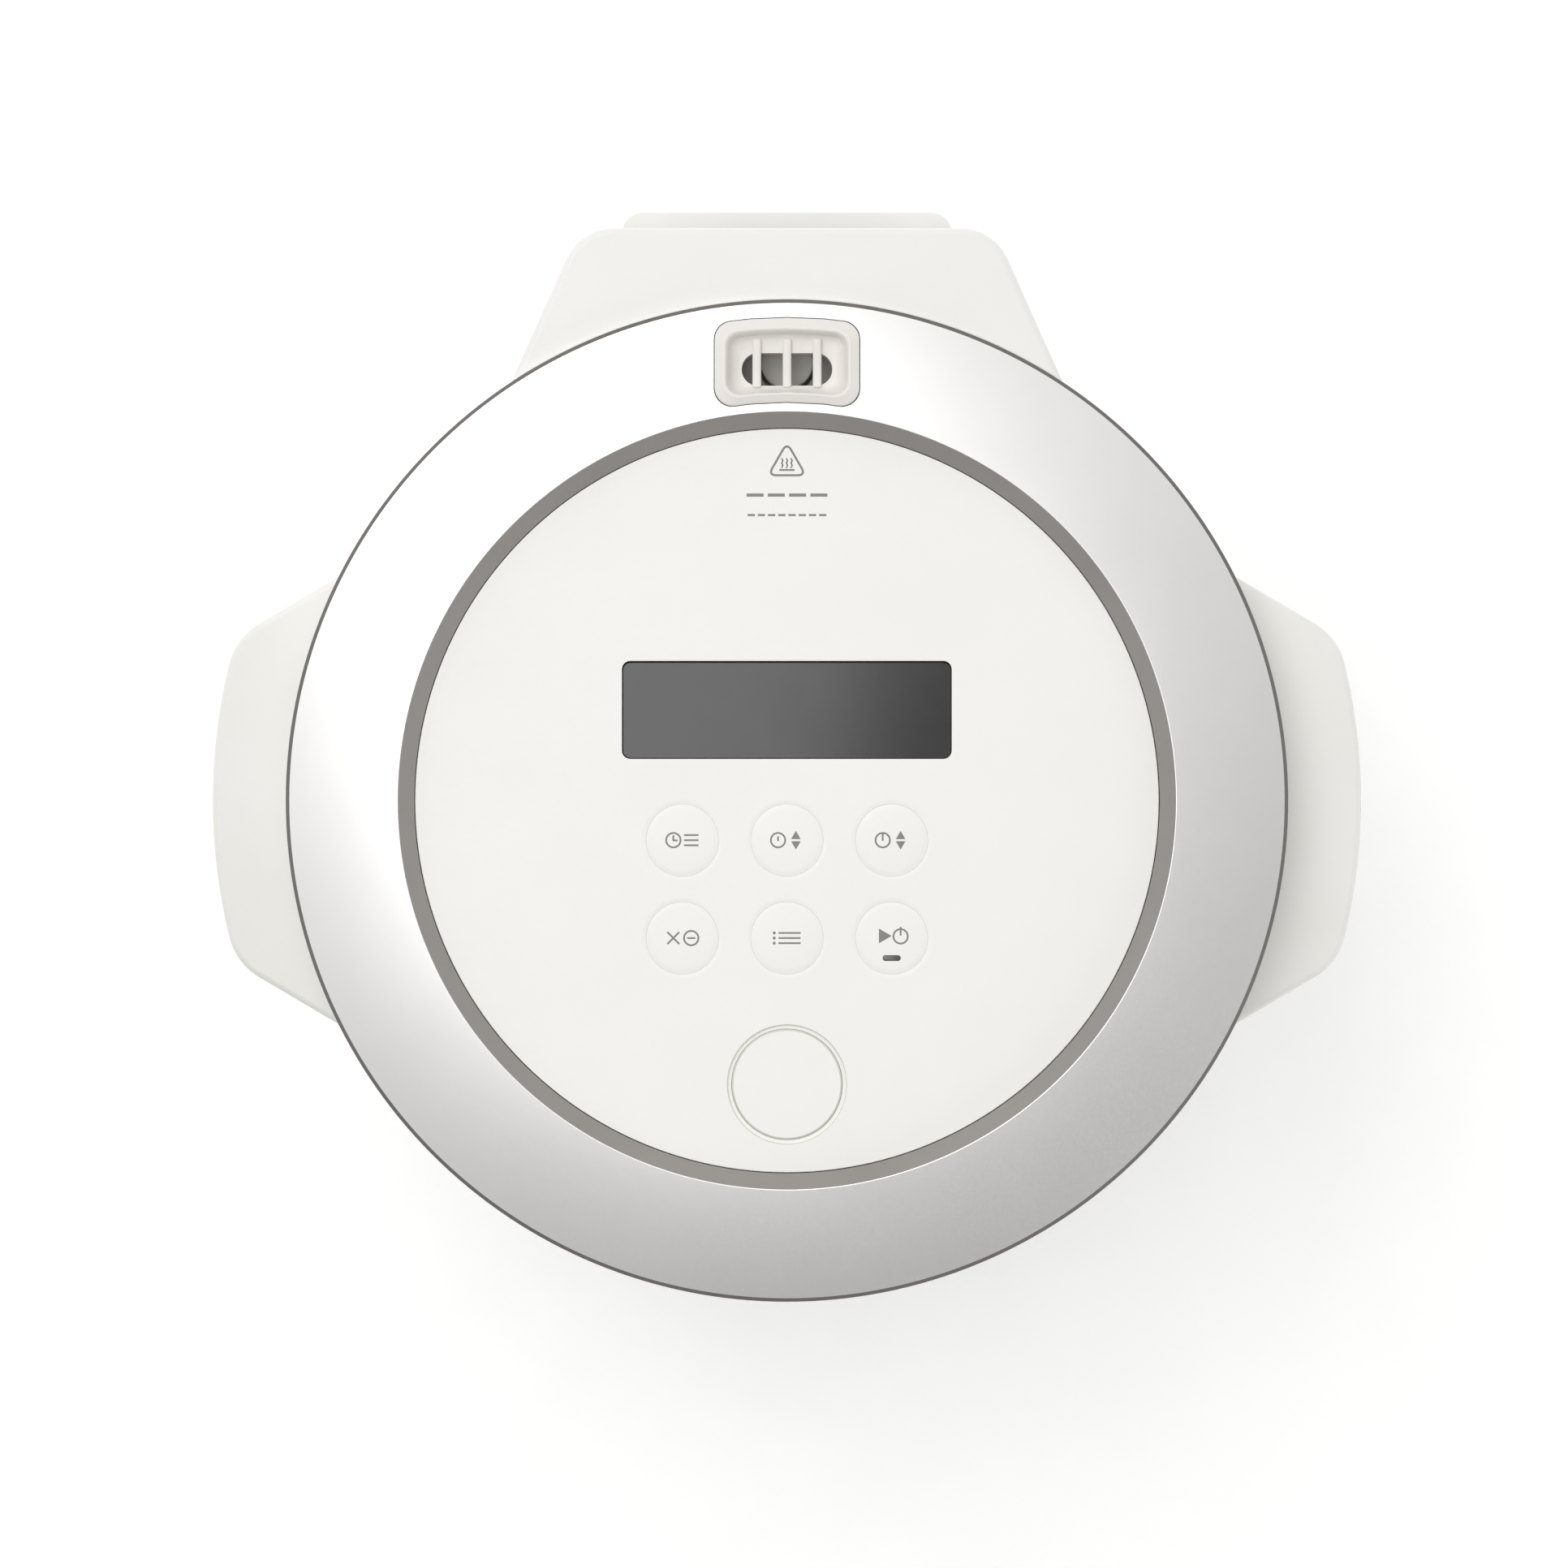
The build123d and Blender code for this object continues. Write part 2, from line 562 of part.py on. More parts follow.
with BuildPart() as lid_ring:
    with BuildSketch(PROFILE) as ring_section:
        with BuildLine():
            Polyline((RING_INNER_R, PANEL_BOTTOM + 2.5), (RING_CREST_R, RING_CREST))
            ThreePointArc((RING_CREST_R, RING_CREST), (RING_MID_R, RING_MID), (LID_R - 0.7, RING_EDGE))
            Polyline(
                (LID_R - 0.7, RING_EDGE), (LID_R, RING_EDGE - 0.8), (LID_R, RING_BOTTOM),
                (LID_R - 2.2, RING_BOTTOM), (LID_R - 2.2, 181.4), (RING_MID_R, 184.8), (92.4, 187), (90.4, 183.4),
                (90.4, 181.2), (84, 181.2), (84, PANEL_BOTTOM), (RING_INNER_R, PANEL_BOTTOM),
                (RING_INNER_R, PANEL_BOTTOM + 2.5),
            )
        make_face()
    revolve(ring_section.sketch, axis=POT_AXIS)
    # posts that stand on the lid base and take its screws
    for x, y in LID_SCREW_PLACES:
        disc(level(BOSS_TOP, x, y), 3.6, 185 - BOSS_TOP)
        disc(level(BOSS_TOP, x, y), 1.45, 14, mode=Mode.SUBTRACT)
    # hole for the steam cap, with a collar around it
    extrude(cap_plan(level(RING_BOTTOM), -2.2), amount=9.5)
    extrude(cap_plan(level(170), -APART), amount=30, mode=Mode.SUBTRACT)
keep(lid_ring, "lid_ring")

# Control panel, display and keys --------------------------------------------------------------------
with BuildPart() as control_panel:
    disc(level(PANEL_BOTTOM), PANEL_R, PANEL_TOP - PANEL_BOTTOM)
    block(level(PANEL_BOTTOM, 0, DISPLAY_Y), DISPLAY_W + 0.2, DISPLAY_D + 0.2, 5, corner=1.95, mode=Mode.SUBTRACT)
    for x in KEY_COLUMNS:
        for y in KEY_ROWS:
            disc(level(PANEL_BOTTOM, x, y), KEY_R + RUNNING, 5, mode=Mode.SUBTRACT)
    disc(level(PANEL_BOTTOM, 0, BUTTON_Y), BUTTON_HOLE_R, 5, mode=Mode.SUBTRACT)
keep(control_panel, "control_panel")

with BuildPart() as display_window:
    block(level(PANEL_BOTTOM, 0, DISPLAY_Y), DISPLAY_W, DISPLAY_D, 1.7, corner=1.85)
keep(display_window, "display_window")

BOARD_BOTTOM = 172.0
BOARD_TOP = 173.6
with BuildPart() as display_module:
    block(level(BOARD_TOP, 0, DISPLAY_Y), 72, 20, 9.4, corner=1)
keep(display_module, "display_module")

with BuildPart() as control_board:
    block(level(BOARD_BOTTOM, 0, -4), 110, 78, 1.6, corner=3)
keep(control_board, "control_board")

with BuildPart() as tact_switches:
    for x in KEY_COLUMNS:
        for y in KEY_ROWS:
            block(level(BOARD_TOP, x, y), 6, 6, 2.6)
            disc(level(BOARD_TOP + 2.6, x, y), 1.7, 0.8)
keep(tact_switches, "tact_switches")

with BuildPart() as clock_battery:
    disc(level(BOARD_TOP, 43, -20), 10, 3.2)
    fillet(clock_battery.edges().group_by(Axis.Z)[-1], 0.6)
keep(clock_battery, "clock_battery")

KEY_NAMES = {
    "key_clock": (KEY_COLUMNS[0], KEY_ROWS[0]),
    "key_hour": (KEY_COLUMNS[1], KEY_ROWS[0]),
    "key_minute": (KEY_COLUMNS[2], KEY_ROWS[0]),
    "key_cancel": (KEY_COLUMNS[0], KEY_ROWS[1]),
    "key_menu": (KEY_COLUMNS[1], KEY_ROWS[1]),
    "key_start": (KEY_COLUMNS[2], KEY_ROWS[1]),
}
LENS_W = 4.2
LENS_D = 1.3
LENS_DROP = 4.7
KEY_EDGE = PANEL_TOP - 0.1
KEY_DOME = 0.45

for key_name, (x, y) in KEY_NAMES.items():
    middle = Axis((x, POT_Y + y, 0), (0, 0, 1))
    with BuildPart() as key:
        with BuildSketch(Plane(origin=(x, POT_Y + y, 0), x_dir=(1, 0, 0), z_dir=(0, -1, 0))) as half:
            with BuildLine():
                Polyline(
                    (0, KEY_EDGE + KEY_DOME), (0, 178.2), (2, 178.2), (2, 181.8), (KEY_R + 0.8, 181.8),
                    (KEY_R + 0.8, 183.0), (KEY_R, 183.0), (KEY_R, KEY_EDGE),
                )
                TangentArc((0, KEY_EDGE + KEY_DOME), (KEY_R, KEY_EDGE), tangent=(1, 0))
            make_face()
        revolve(half.sketch, axis=middle)
        if key_name == "key_start":
            block(level(182.6, x, y - LENS_DROP), LENS_W, LENS_D, 8, corner=0.6, mode=Mode.SUBTRACT)
    keep(key, key_name)

with BuildPart() as indicator_lens:
    block(level(182.6, KEY_COLUMNS[2], KEY_ROWS[1] - LENS_DROP), LENS_W, LENS_D, 3.38, corner=0.6)
keep(indicator_lens, "indicator_lens")

# Open button and latch ------------------------------------------------------------------------------
GUIDE_FLOOR = 168.0
with BuildPart() as open_button:
    turn_axis = Axis((0, POT_Y + BUTTON_Y, 0), (0, 0, 1))
    with BuildSketch(Plane(origin=(0, POT_Y + BUTTON_Y, 0), x_dir=(1, 0, 0), z_dir=(0, -1, 0))) as half:
        with BuildLine():
            Polyline(
                (0, 185.6), (0, 166.3), (1.6, 166.3), (4, 167.4), (4, 183.4), (11.4, 183.4), (11.4, 176), (BUTTON_R, 176),
                (BUTTON_R, 185.0), (12.4, 185.6), close=True,
            )
        make_face()
    revolve(half.sketch, axis=turn_axis)
keep(open_button, "open_button")

button_spring = coil(0, BUTTON_Y, GUIDE_FLOOR + 1.7, 183.3, 7.5, 1.2, 5)
keep(button_spring, "button_spring")

with BuildPart() as button_guide:
    disc(level(GUIDE_FLOOR, 0, BUTTON_Y), 15.6, PANEL_BOTTOM - GUIDE_FLOOR)
    disc(level(GUIDE_FLOOR + 1.6, 0, BUTTON_Y), BUTTON_R + RUNNING, 20, mode=Mode.SUBTRACT)
    disc(level(GUIDE_FLOOR - 1, 0, BUTTON_Y), 4 + RUNNING, 5, mode=Mode.SUBTRACT)
keep(button_guide, "button_guide")

with BuildPart() as latch_lever:
    side_shape([(-108, 171), (-108, 153.2), (-106.8, 152.2), (-103.3, 154.2), (-103.3, 155.4),
                (-105.5, 155.4), (-105.5, 165.5), (-103, 166.8), (-72.7, 163.6), (-60.7, 163.6),
                (-60.7, 166), (-86, 166.3), (-103, 173), (-106.5, 173.5)], 9.5)
    side_rod(-9.5, 9.5, LATCH_Y, LATCH_Z, 4)
    side_rod(-20, 20, LATCH_Y, LATCH_Z, LATCH_PIN_R + 0.05, mode=Mode.SUBTRACT)
    side_rod(-4, 4, LATCH_Y, LATCH_Z, 5.6, mode=Mode.SUBTRACT)
    block(level(150, 8, -80), 4, 42, 20, mode=Mode.SUBTRACT)
    block(level(150, -8, -80), 4, 42, 20, mode=Mode.SUBTRACT)
keep(latch_lever, "latch_lever")

with BuildPart() as latch_pin:
    side_rod(-14.5, 14.5, LATCH_Y, LATCH_Z, LATCH_PIN_R)
keep(latch_pin, "latch_pin")

latch_spring = side_coil(-3.6, 3.6, LATCH_Y, LATCH_Z, 3.2, 0.8, 5)
keep(latch_spring, "latch_spring")

# Inside of the lid ------------------------------------------------------------------------------------
TUBE_R = 7.0
with BuildPart() as radiating_plate:
    disc(level(152.2), 79, 0.8)
    disc(level(150, 0, STEAM_Y), TUBE_R + 0.1, 5, mode=Mode.SUBTRACT)
    disc(level(150), 4.2, 5, mode=Mode.SUBTRACT)
keep(radiating_plate, "radiating_plate")

with BuildPart() as inner_lid:
    turn([(0, 149.4), (72, 149.4), (78.5, 151.2), (86, 151.2), (86, 152.0), (78.2, 152.0), (71.8, 150.2),
          (0, 150.2)])
    disc(level(140), 4.2, 20, mode=Mode.SUBTRACT)
    for angle in range(0, 360, 60):
        x = 3.6 * math.cos(math.radians(angle))
        y = STEAM_Y + 3.6 * math.sin(math.radians(angle))
        disc(level(140, x, y), 1.2, 20, mode=Mode.SUBTRACT)
keep(inner_lid, "inner_lid")

with BuildPart() as inner_lid_gasket:
    turn([(83, POT_RIM + APART), (91, POT_RIM + APART), (92, 151.6), (92, 152.9), (83, 152.9), (83, 152.0),
          (86, 152.0), (86, 151.2), (83, 151.2)])
keep(inner_lid_gasket, "inner_lid_gasket")

with BuildPart() as inner_lid_knob:
    turn([(0, 147.6), (9, 147.6), (9, 149.4), (4.1, 149.4), (4.1, 157), (5.2, 157), (4.1, 159), (0, 159)])
keep(inner_lid_knob, "inner_lid_knob")

with BuildPart() as steam_seal:
    with BuildSketch(level(150.2, 0, STEAM_Y)):
        Circle(TUBE_R + 1.5)
        Circle(TUBE_R - 1.2, mode=Mode.SUBTRACT)
    extrude(amount=1.4)
keep(steam_seal, "steam_seal")

DUCT_BOTTOM = 164.6
with BuildPart() as steam_duct:
    duct_y = (STEAM_Y - 9 + 111.5) / 2
    duct_depth = 111.5 - STEAM_Y + 9
    block(level(DUCT_BOTTOM, 0, duct_y), 30, duct_depth, CAP_BOTTOM - APART - DUCT_BOTTOM, corner=8)
    block(level(DUCT_BOTTOM + 1.6, 0, duct_y), 26.8, duct_depth - 3.2, 4, corner=6.4, mode=Mode.SUBTRACT)
    disc(level(151.6, 0, STEAM_Y), TUBE_R, DUCT_BOTTOM - 151.6)
    disc(level(150, 0, STEAM_Y), TUBE_R - 1.2, 18, mode=Mode.SUBTRACT)
    disc(level(168, 0, 103.5), 7, 8, mode=Mode.SUBTRACT)
keep(steam_duct, "steam_duct")

lid_screws = screws(LID_SCREW_PLACES, HEAD_SEAT, 12, 3.0, 1.4, up=True)
keep(lid_screws, "lid_screws")

# Steam cap --------------------------------------------------------------------------------------------
BASIN_FLOOR = 183.2
with BuildPart() as steam_cap:
    extrude(cap_plan(level(CAP_BOTTOM), 0), amount=25)
    revolve(dome_outline(CAP_RISE, 80, LID_R, 160), axis=POT_AXIS, mode=Mode.INTERSECT)
    # basin with sloping sides
    with BuildSketch(level(BASIN_FLOOR, 0, 102.2)) as basin:
        RectangleRounded(23.6, 11.4, 3.2)
    extrude(basin.sketch, amount=8, taper=-14, mode=Mode.SUBTRACT)
    # hollow below, and the slotted way out of it
    extrude(cap_plan(level(CAP_BOTTOM - 1), 1.8), amount=BASIN_FLOOR - 2.6 - CAP_BOTTOM, mode=Mode.SUBTRACT)
    with BuildSketch(level(CAP_BOTTOM, 0, 101.45)) as outlet:
        RectangleRounded(21.3, 7.7, 3.8)
    extrude(outlet.sketch, amount=20, mode=Mode.SUBTRACT)
    # three ribs across the outlet
    for x in (-7.1, 0, 7.1):
        block(level(BASIN_FLOOR - 1.6, x, 102.4), 2.05, 11.2, 3.4)
    # floor with a seat for the valve
    extrude(cap_plan(level(CAP_BOTTOM), 1.0), amount=1.6)
    disc(level(CAP_BOTTOM - 1, 0, 103.5), 5, 6, mode=Mode.SUBTRACT)
keep(steam_cap, "steam_cap")

with BuildPart() as steam_valve:
    disc(level(CAP_BOTTOM + 1.9, 0, 103.5), 6.2, 1.2)
    disc(level(CAP_BOTTOM - 0.2, 0, 103.5), 4.6, 2.4)
    fillet(steam_valve.edges().group_by(Axis.Z)[-1], 0.5)
keep(steam_valve, "steam_valve")
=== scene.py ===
import json
import logging
import math
from dataclasses import dataclass, field
from enum import Enum
from typing import Any, Callable, Sequence

import bpy
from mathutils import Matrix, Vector

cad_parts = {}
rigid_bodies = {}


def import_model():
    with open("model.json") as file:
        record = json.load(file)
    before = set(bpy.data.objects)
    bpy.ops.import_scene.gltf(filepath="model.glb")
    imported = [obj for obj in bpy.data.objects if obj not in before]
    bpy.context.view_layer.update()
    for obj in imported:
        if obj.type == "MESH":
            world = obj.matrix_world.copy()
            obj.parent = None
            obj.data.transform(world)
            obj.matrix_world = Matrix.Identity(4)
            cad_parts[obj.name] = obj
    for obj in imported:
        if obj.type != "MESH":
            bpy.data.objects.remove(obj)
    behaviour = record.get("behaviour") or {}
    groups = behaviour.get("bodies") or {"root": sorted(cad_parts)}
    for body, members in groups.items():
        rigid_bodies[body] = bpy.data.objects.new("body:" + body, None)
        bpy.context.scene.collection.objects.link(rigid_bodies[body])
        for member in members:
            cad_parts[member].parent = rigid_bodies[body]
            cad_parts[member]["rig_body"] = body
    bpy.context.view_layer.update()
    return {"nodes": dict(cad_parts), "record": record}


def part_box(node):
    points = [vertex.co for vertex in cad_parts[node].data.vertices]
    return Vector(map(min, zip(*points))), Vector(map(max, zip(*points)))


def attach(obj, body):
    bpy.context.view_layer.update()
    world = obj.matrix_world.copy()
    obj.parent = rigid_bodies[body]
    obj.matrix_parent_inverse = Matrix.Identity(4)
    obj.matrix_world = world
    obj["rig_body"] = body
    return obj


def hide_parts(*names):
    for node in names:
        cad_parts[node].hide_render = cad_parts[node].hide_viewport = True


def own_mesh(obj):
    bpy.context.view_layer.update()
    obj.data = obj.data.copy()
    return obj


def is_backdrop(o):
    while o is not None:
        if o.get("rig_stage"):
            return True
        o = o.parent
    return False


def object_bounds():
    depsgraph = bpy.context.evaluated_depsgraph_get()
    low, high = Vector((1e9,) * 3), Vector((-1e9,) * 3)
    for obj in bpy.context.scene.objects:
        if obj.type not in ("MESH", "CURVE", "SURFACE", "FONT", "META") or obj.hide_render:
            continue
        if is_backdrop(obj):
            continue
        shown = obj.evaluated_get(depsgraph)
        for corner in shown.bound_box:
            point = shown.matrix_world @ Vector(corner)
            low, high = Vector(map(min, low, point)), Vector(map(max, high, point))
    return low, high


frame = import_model()

MM = 0.001
Point = tuple[float, float]
Corner = tuple[float, float, float]
log = logging.getLogger("rice_cooker")


# Frame measures -------------------------------------------------------------------------------
def centre_of(node: str) -> Vector:
    """Middle of a CAD node's box."""
    low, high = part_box(node)
    return (low + high) / 2


RING_LOW, RING_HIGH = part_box("lid_ring")
AXIS_X = (RING_LOW.x + RING_HIGH.x) / 2
AXIS_Y = (RING_LOW.y + RING_HIGH.y) / 2
RING_R = (RING_HIGH.x - RING_LOW.x) / 2
PANEL_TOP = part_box("control_panel")[1].z
PANEL_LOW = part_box("control_panel")[0].z
ABOVE_PANEL = PANEL_TOP + MM
BELOW_PANEL = PANEL_LOW - MM


# Mesh tools -----------------------------------------------------------------------------------
def pick(*pieces: bpy.types.Object) -> None:
    """Select only these pieces and make the first of them active."""
    bpy.ops.object.select_all(action="DESELECT")
    for piece in pieces:
        piece.select_set(True)
    bpy.context.view_layer.objects.active = pieces[0]


def place(piece: bpy.types.Object) -> None:
    """Put a piece's place, turn and scale into its mesh."""
    pick(piece)
    bpy.ops.object.transform_apply(location=True, rotation=True, scale=True)


def modify(piece: bpy.types.Object, kind: str, **settings: Any) -> None:
    """Add a modifier with its settings and apply it."""
    pick(piece)
    modifier = piece.modifiers.new(kind.lower(), kind)
    for key, value in settings.items():
        setattr(modifier, key, value)
    bpy.ops.object.modifier_apply(modifier=modifier.name)


def smooth(piece: bpy.types.Object, angle: float = 35.0) -> None:
    """Shade a piece smooth except over sharp edges."""
    pick(piece)
    bpy.ops.object.shade_smooth_by_angle(angle=math.radians(angle))


def rounded(corners: Sequence[Corner], steps: int = 6, closed: bool = False) -> list[Point]:
    """Round the corners of an outline.

    Args:
        corners: points as (x, y, radius), where radius 0 keeps the corner sharp.
        steps: pieces in each rounded corner.
        closed: whether the outline ends where it starts.

    Returns:
        The outline's points.
    """
    points: list[Point] = []
    count = len(corners)
    for index, (x, y, radius) in enumerate(corners):
        ends = not closed and index in (0, count - 1)
        if radius <= 0 or ends:
            points.append((x, y))
            continue
        here = Vector((x, y))
        back = Vector(corners[index - 1][:2]) - here
        ahead = Vector(corners[(index + 1) % count][:2]) - here
        half = back.angle(ahead) / 2
        reach = radius / math.tan(half)
        start = here + back.normalized() * reach
        end = here + ahead.normalized() * reach
        centre = here + (back.normalized() + ahead.normalized()).normalized() * (radius / math.sin(half))
        for step in range(steps + 1):
            spoke = (start - centre).normalized().slerp((end - centre).normalized(), step / steps)
            points.append(tuple(centre + spoke * radius))
    return points


def lathe(name: str, centre: Point, outline: Sequence[Point], segments: int = 96) -> bpy.types.Object:
    """Spin an outline about an upright axis.

    Args:
        name: the piece's name.
        centre: x and y of the axis.
        outline: (radius, height) points in metres; it closes by itself where both ends are on the axis.
        segments: steps round the axis.

    Returns:
        The new piece.
    """
    bpy.ops.object.select_all(action="DESELECT")
    bpy.ops.mesh.primitive_plane_add(size=2 * MM, location=(0, 0, 0))
    piece = bpy.context.active_object
    piece.name = name
    first = outline[0]
    bpy.ops.object.mode_set(mode="EDIT")
    bpy.ops.mesh.select_all(action="SELECT")
    bpy.ops.mesh.merge(type="CENTER")
    bpy.ops.transform.translate(value=(centre[0] + first[0], centre[1], first[1]))
    for before, after in zip(outline, outline[1:]):
        step = (after[0] - before[0], 0, after[1] - before[1])
        bpy.ops.mesh.extrude_vertices_move(TRANSFORM_OT_translate={"value": step})
    bpy.ops.mesh.select_all(action="SELECT")
    bpy.ops.mesh.spin(
        steps=segments, angle=2 * math.pi, center=(centre[0], centre[1], 0), axis=(0, 0, 1)
    )
    bpy.ops.mesh.select_all(action="SELECT")
    bpy.ops.mesh.remove_doubles(threshold=0.002 * MM)
    bpy.ops.mesh.normals_make_consistent(inside=False)
    bpy.ops.object.mode_set(mode="OBJECT")
    place(piece)
    return piece


def draw(outline: Sequence[Point], height: float) -> bpy.types.Object:
    """Draw a closed outline of edges at a height and leave it in edit mode, all selected."""
    bpy.ops.object.select_all(action="DESELECT")
    bpy.ops.mesh.primitive_plane_add(size=2 * MM, location=(0, 0, 0))
    bpy.ops.object.mode_set(mode="EDIT")
    bpy.ops.mesh.select_all(action="SELECT")
    bpy.ops.mesh.merge(type="CENTER")
    bpy.ops.transform.translate(value=(*outline[0], height))
    for before, after in zip(outline, outline[1:]):
        step = (after[0] - before[0], after[1] - before[1], 0)
        bpy.ops.mesh.extrude_vertices_move(TRANSFORM_OT_translate={"value": step})
    bpy.ops.mesh.select_all(action="SELECT")
    return bpy.context.active_object


def prism(name: str, outline: Sequence[Point], low: float, high: float,
          steps: Sequence[Corner] = ()) -> bpy.types.Object:
    """Raise an outline into a solid and work its top inwards.

    Args:
        name: the piece's name.
        outline: (x, y) points, anticlockwise.
        low: height of the bottom.
        high: height of the top.
        steps: how the top face draws in, each as (width, rise, shift along Y).

    Returns:
        The new piece.
    """
    piece = draw(outline, low)
    piece.name = name
    bpy.ops.mesh.edge_face_add()
    bpy.ops.mesh.extrude_region_move(TRANSFORM_OT_translate={"value": (0, 0, high - low)})
    spread = [(min(p[i] for p in outline), max(p[i] for p in outline)) for i in (0, 1)]
    half = [(b - a) / 2 for a, b in spread]
    centre = Vector(((spread[0][0] + spread[0][1]) / 2, (spread[1][0] + spread[1][1]) / 2, high))
    for width, rise, shift in steps:
        bpy.ops.mesh.extrude_region_move(TRANSFORM_OT_translate={"value": (0, shift, rise)})
        centre += Vector((0, shift, rise))
        ratio = ((half[0] - width) / half[0], (half[1] - width) / half[1], 1)
        bpy.ops.transform.resize(value=ratio, center_override=centre)
        half = [half[0] - width, half[1] - width]
    bpy.ops.mesh.select_all(action="SELECT")
    bpy.ops.mesh.normals_make_consistent(inside=False)
    bpy.ops.object.mode_set(mode="OBJECT")
    place(piece)
    return piece


def soft_box(name: str, low: Sequence[float], high: Sequence[float], corner: float, edge: float,
             steps: int = 5) -> bpy.types.Object:
    """Box with rounded upright corners and softened edges.

    Args:
        name: the piece's name.
        low: lowest corner.
        high: highest corner.
        corner: radius of the upright corners.
        edge: radius of all other edges.
        steps: pieces in each rounding.

    Returns:
        The new piece.
    """
    size = [h - l for l, h in zip(low, high)]
    middle = [(h + l) / 2 for l, h in zip(low, high)]
    bpy.ops.object.select_all(action="DESELECT")
    bpy.ops.mesh.primitive_cube_add(size=1, location=middle)
    piece = bpy.context.active_object
    piece.name = name
    piece.scale = size
    place(piece)
    for radius, upright in ((corner, True), (edge, False)):
        if radius <= 0:
            continue
        bpy.ops.object.mode_set(mode="EDIT")
        bpy.ops.mesh.select_mode(type="EDGE")
        bpy.ops.mesh.select_all(action="DESELECT")
        bpy.ops.object.mode_set(mode="OBJECT")
        for mesh_edge in piece.data.edges:
            a, b = (piece.data.vertices[i].co for i in mesh_edge.vertices)
            run = b - a
            is_upright = abs(run.z) > 0.9 * run.length
            at_end = min(abs(a.z - low[2]), abs(a.z - high[2])) < 1e-6
            mesh_edge.select = is_upright if upright else (not is_upright and at_end)
        bpy.ops.object.mode_set(mode="EDIT")
        bpy.ops.mesh.bevel(offset=radius, segments=steps, affect="EDGES")
        bpy.ops.mesh.select_mode(type="VERT")
        bpy.ops.object.mode_set(mode="OBJECT")
    return piece


def cut(piece: bpy.types.Object, *cutters: bpy.types.Object) -> None:
    """Take cutters away from a piece and delete them."""
    for cutter in cutters:
        modify(piece, "BOOLEAN", operation="DIFFERENCE", object=cutter, solver="EXACT")
        bpy.data.objects.remove(cutter)


def join(name: str, pieces: Sequence[bpy.types.Object]) -> bpy.types.Object:
    """Join pieces into one under a name."""
    pick(*pieces)
    bpy.ops.object.join()
    joined = bpy.context.active_object
    joined.name = name
    return joined


def softened(node: str, edge: float, angle: float = 32.0) -> bpy.types.Object:
    """Copy a CAD node and round its sharp edges.

    Args:
        node: the CAD node.
        edge: radius of the rounded edges.
        angle: edges flatter than this many degrees stay as they are.

    Returns:
        The new piece, named after the node.
    """
    piece = bpy.data.objects.new(node + "_shell", frame["nodes"][node].data.copy())
    bpy.context.scene.collection.objects.link(piece)
    pick(piece)
    bpy.ops.object.mode_set(mode="EDIT")
    bpy.ops.mesh.select_all(action="SELECT")
    bpy.ops.mesh.remove_doubles(threshold=0.002 * MM)
    bpy.ops.mesh.dissolve_limited(angle_limit=math.radians(0.6))
    bpy.ops.object.mode_set(mode="OBJECT")
    if edge > 0:
        modify(piece, "BEVEL", width=edge, segments=3, limit_method="ANGLE", angle_limit=math.radians(angle),
               use_clamp_overlap=True, miter_outer="MITER_ARC")
    smooth(piece, 40)
    modify(piece, "WEIGHTED_NORMAL", keep_sharp=True)
    return piece


# Materials ------------------------------------------------------------------------------------
def linear(colour: str) -> tuple[float, float, float, float]:
    """Linear RGBA of an sRGB hex colour such as "f4f3f0"."""
    parts = [int(colour[i:i + 2], 16) / 255 for i in (0, 2, 4)]
    values = [c / 12.92 if c <= 0.04045 else ((c + 0.055) / 1.055) ** 2.4 for c in parts]
    return (values[0], values[1], values[2], 1.0)


def add_node(tree: bpy.types.NodeTree, kind: str, settings: dict[str, Any] | None = None,
             links: dict[Any, bpy.types.NodeSocket] | None = None) -> bpy.types.Node:
    """Add a shader node.

    Args:
        tree: the node tree.
        kind: the node's type.
        settings: socket values and properties by name.
        links: sources by input name or number.

    Returns:
        The new node.
    """
    made = tree.nodes.new(kind)
    for key, value in (settings or {}).items():
        if isinstance(key, int) or key in made.inputs:
            made.inputs[key].default_value = value
        else:
            setattr(made, key, value)
    for key, source in (links or {}).items():
        tree.links.new(source, made.inputs[key])
    return made


def ramp(tree: bpy.types.NodeTree, factor: bpy.types.NodeSocket,
         stops: Sequence[tuple[float, tuple[float, float, float, float]]]) -> bpy.types.NodeSocket:
    """Colour ramp over a factor, given as (position, colour) stops."""
    made = add_node(tree, "ShaderNodeValToRGB", links={"Fac": factor})
    elements = made.color_ramp.elements
    while len(elements) < len(stops):
        elements.new(0.5)
    for element, (position, colour) in zip(elements, stops):
        element.position = position
        element.color = colour
    return made.outputs["Color"]


class Grain(Enum):
    """How a surface's fine relief was made."""

    ORANGE_PEEL = "orange peel of moulded or sprayed gloss"
    SPARK = "spark-eroded mould texture"
    BRUSHED = "straight brushing"
    SPUN = "rings left by spinning"


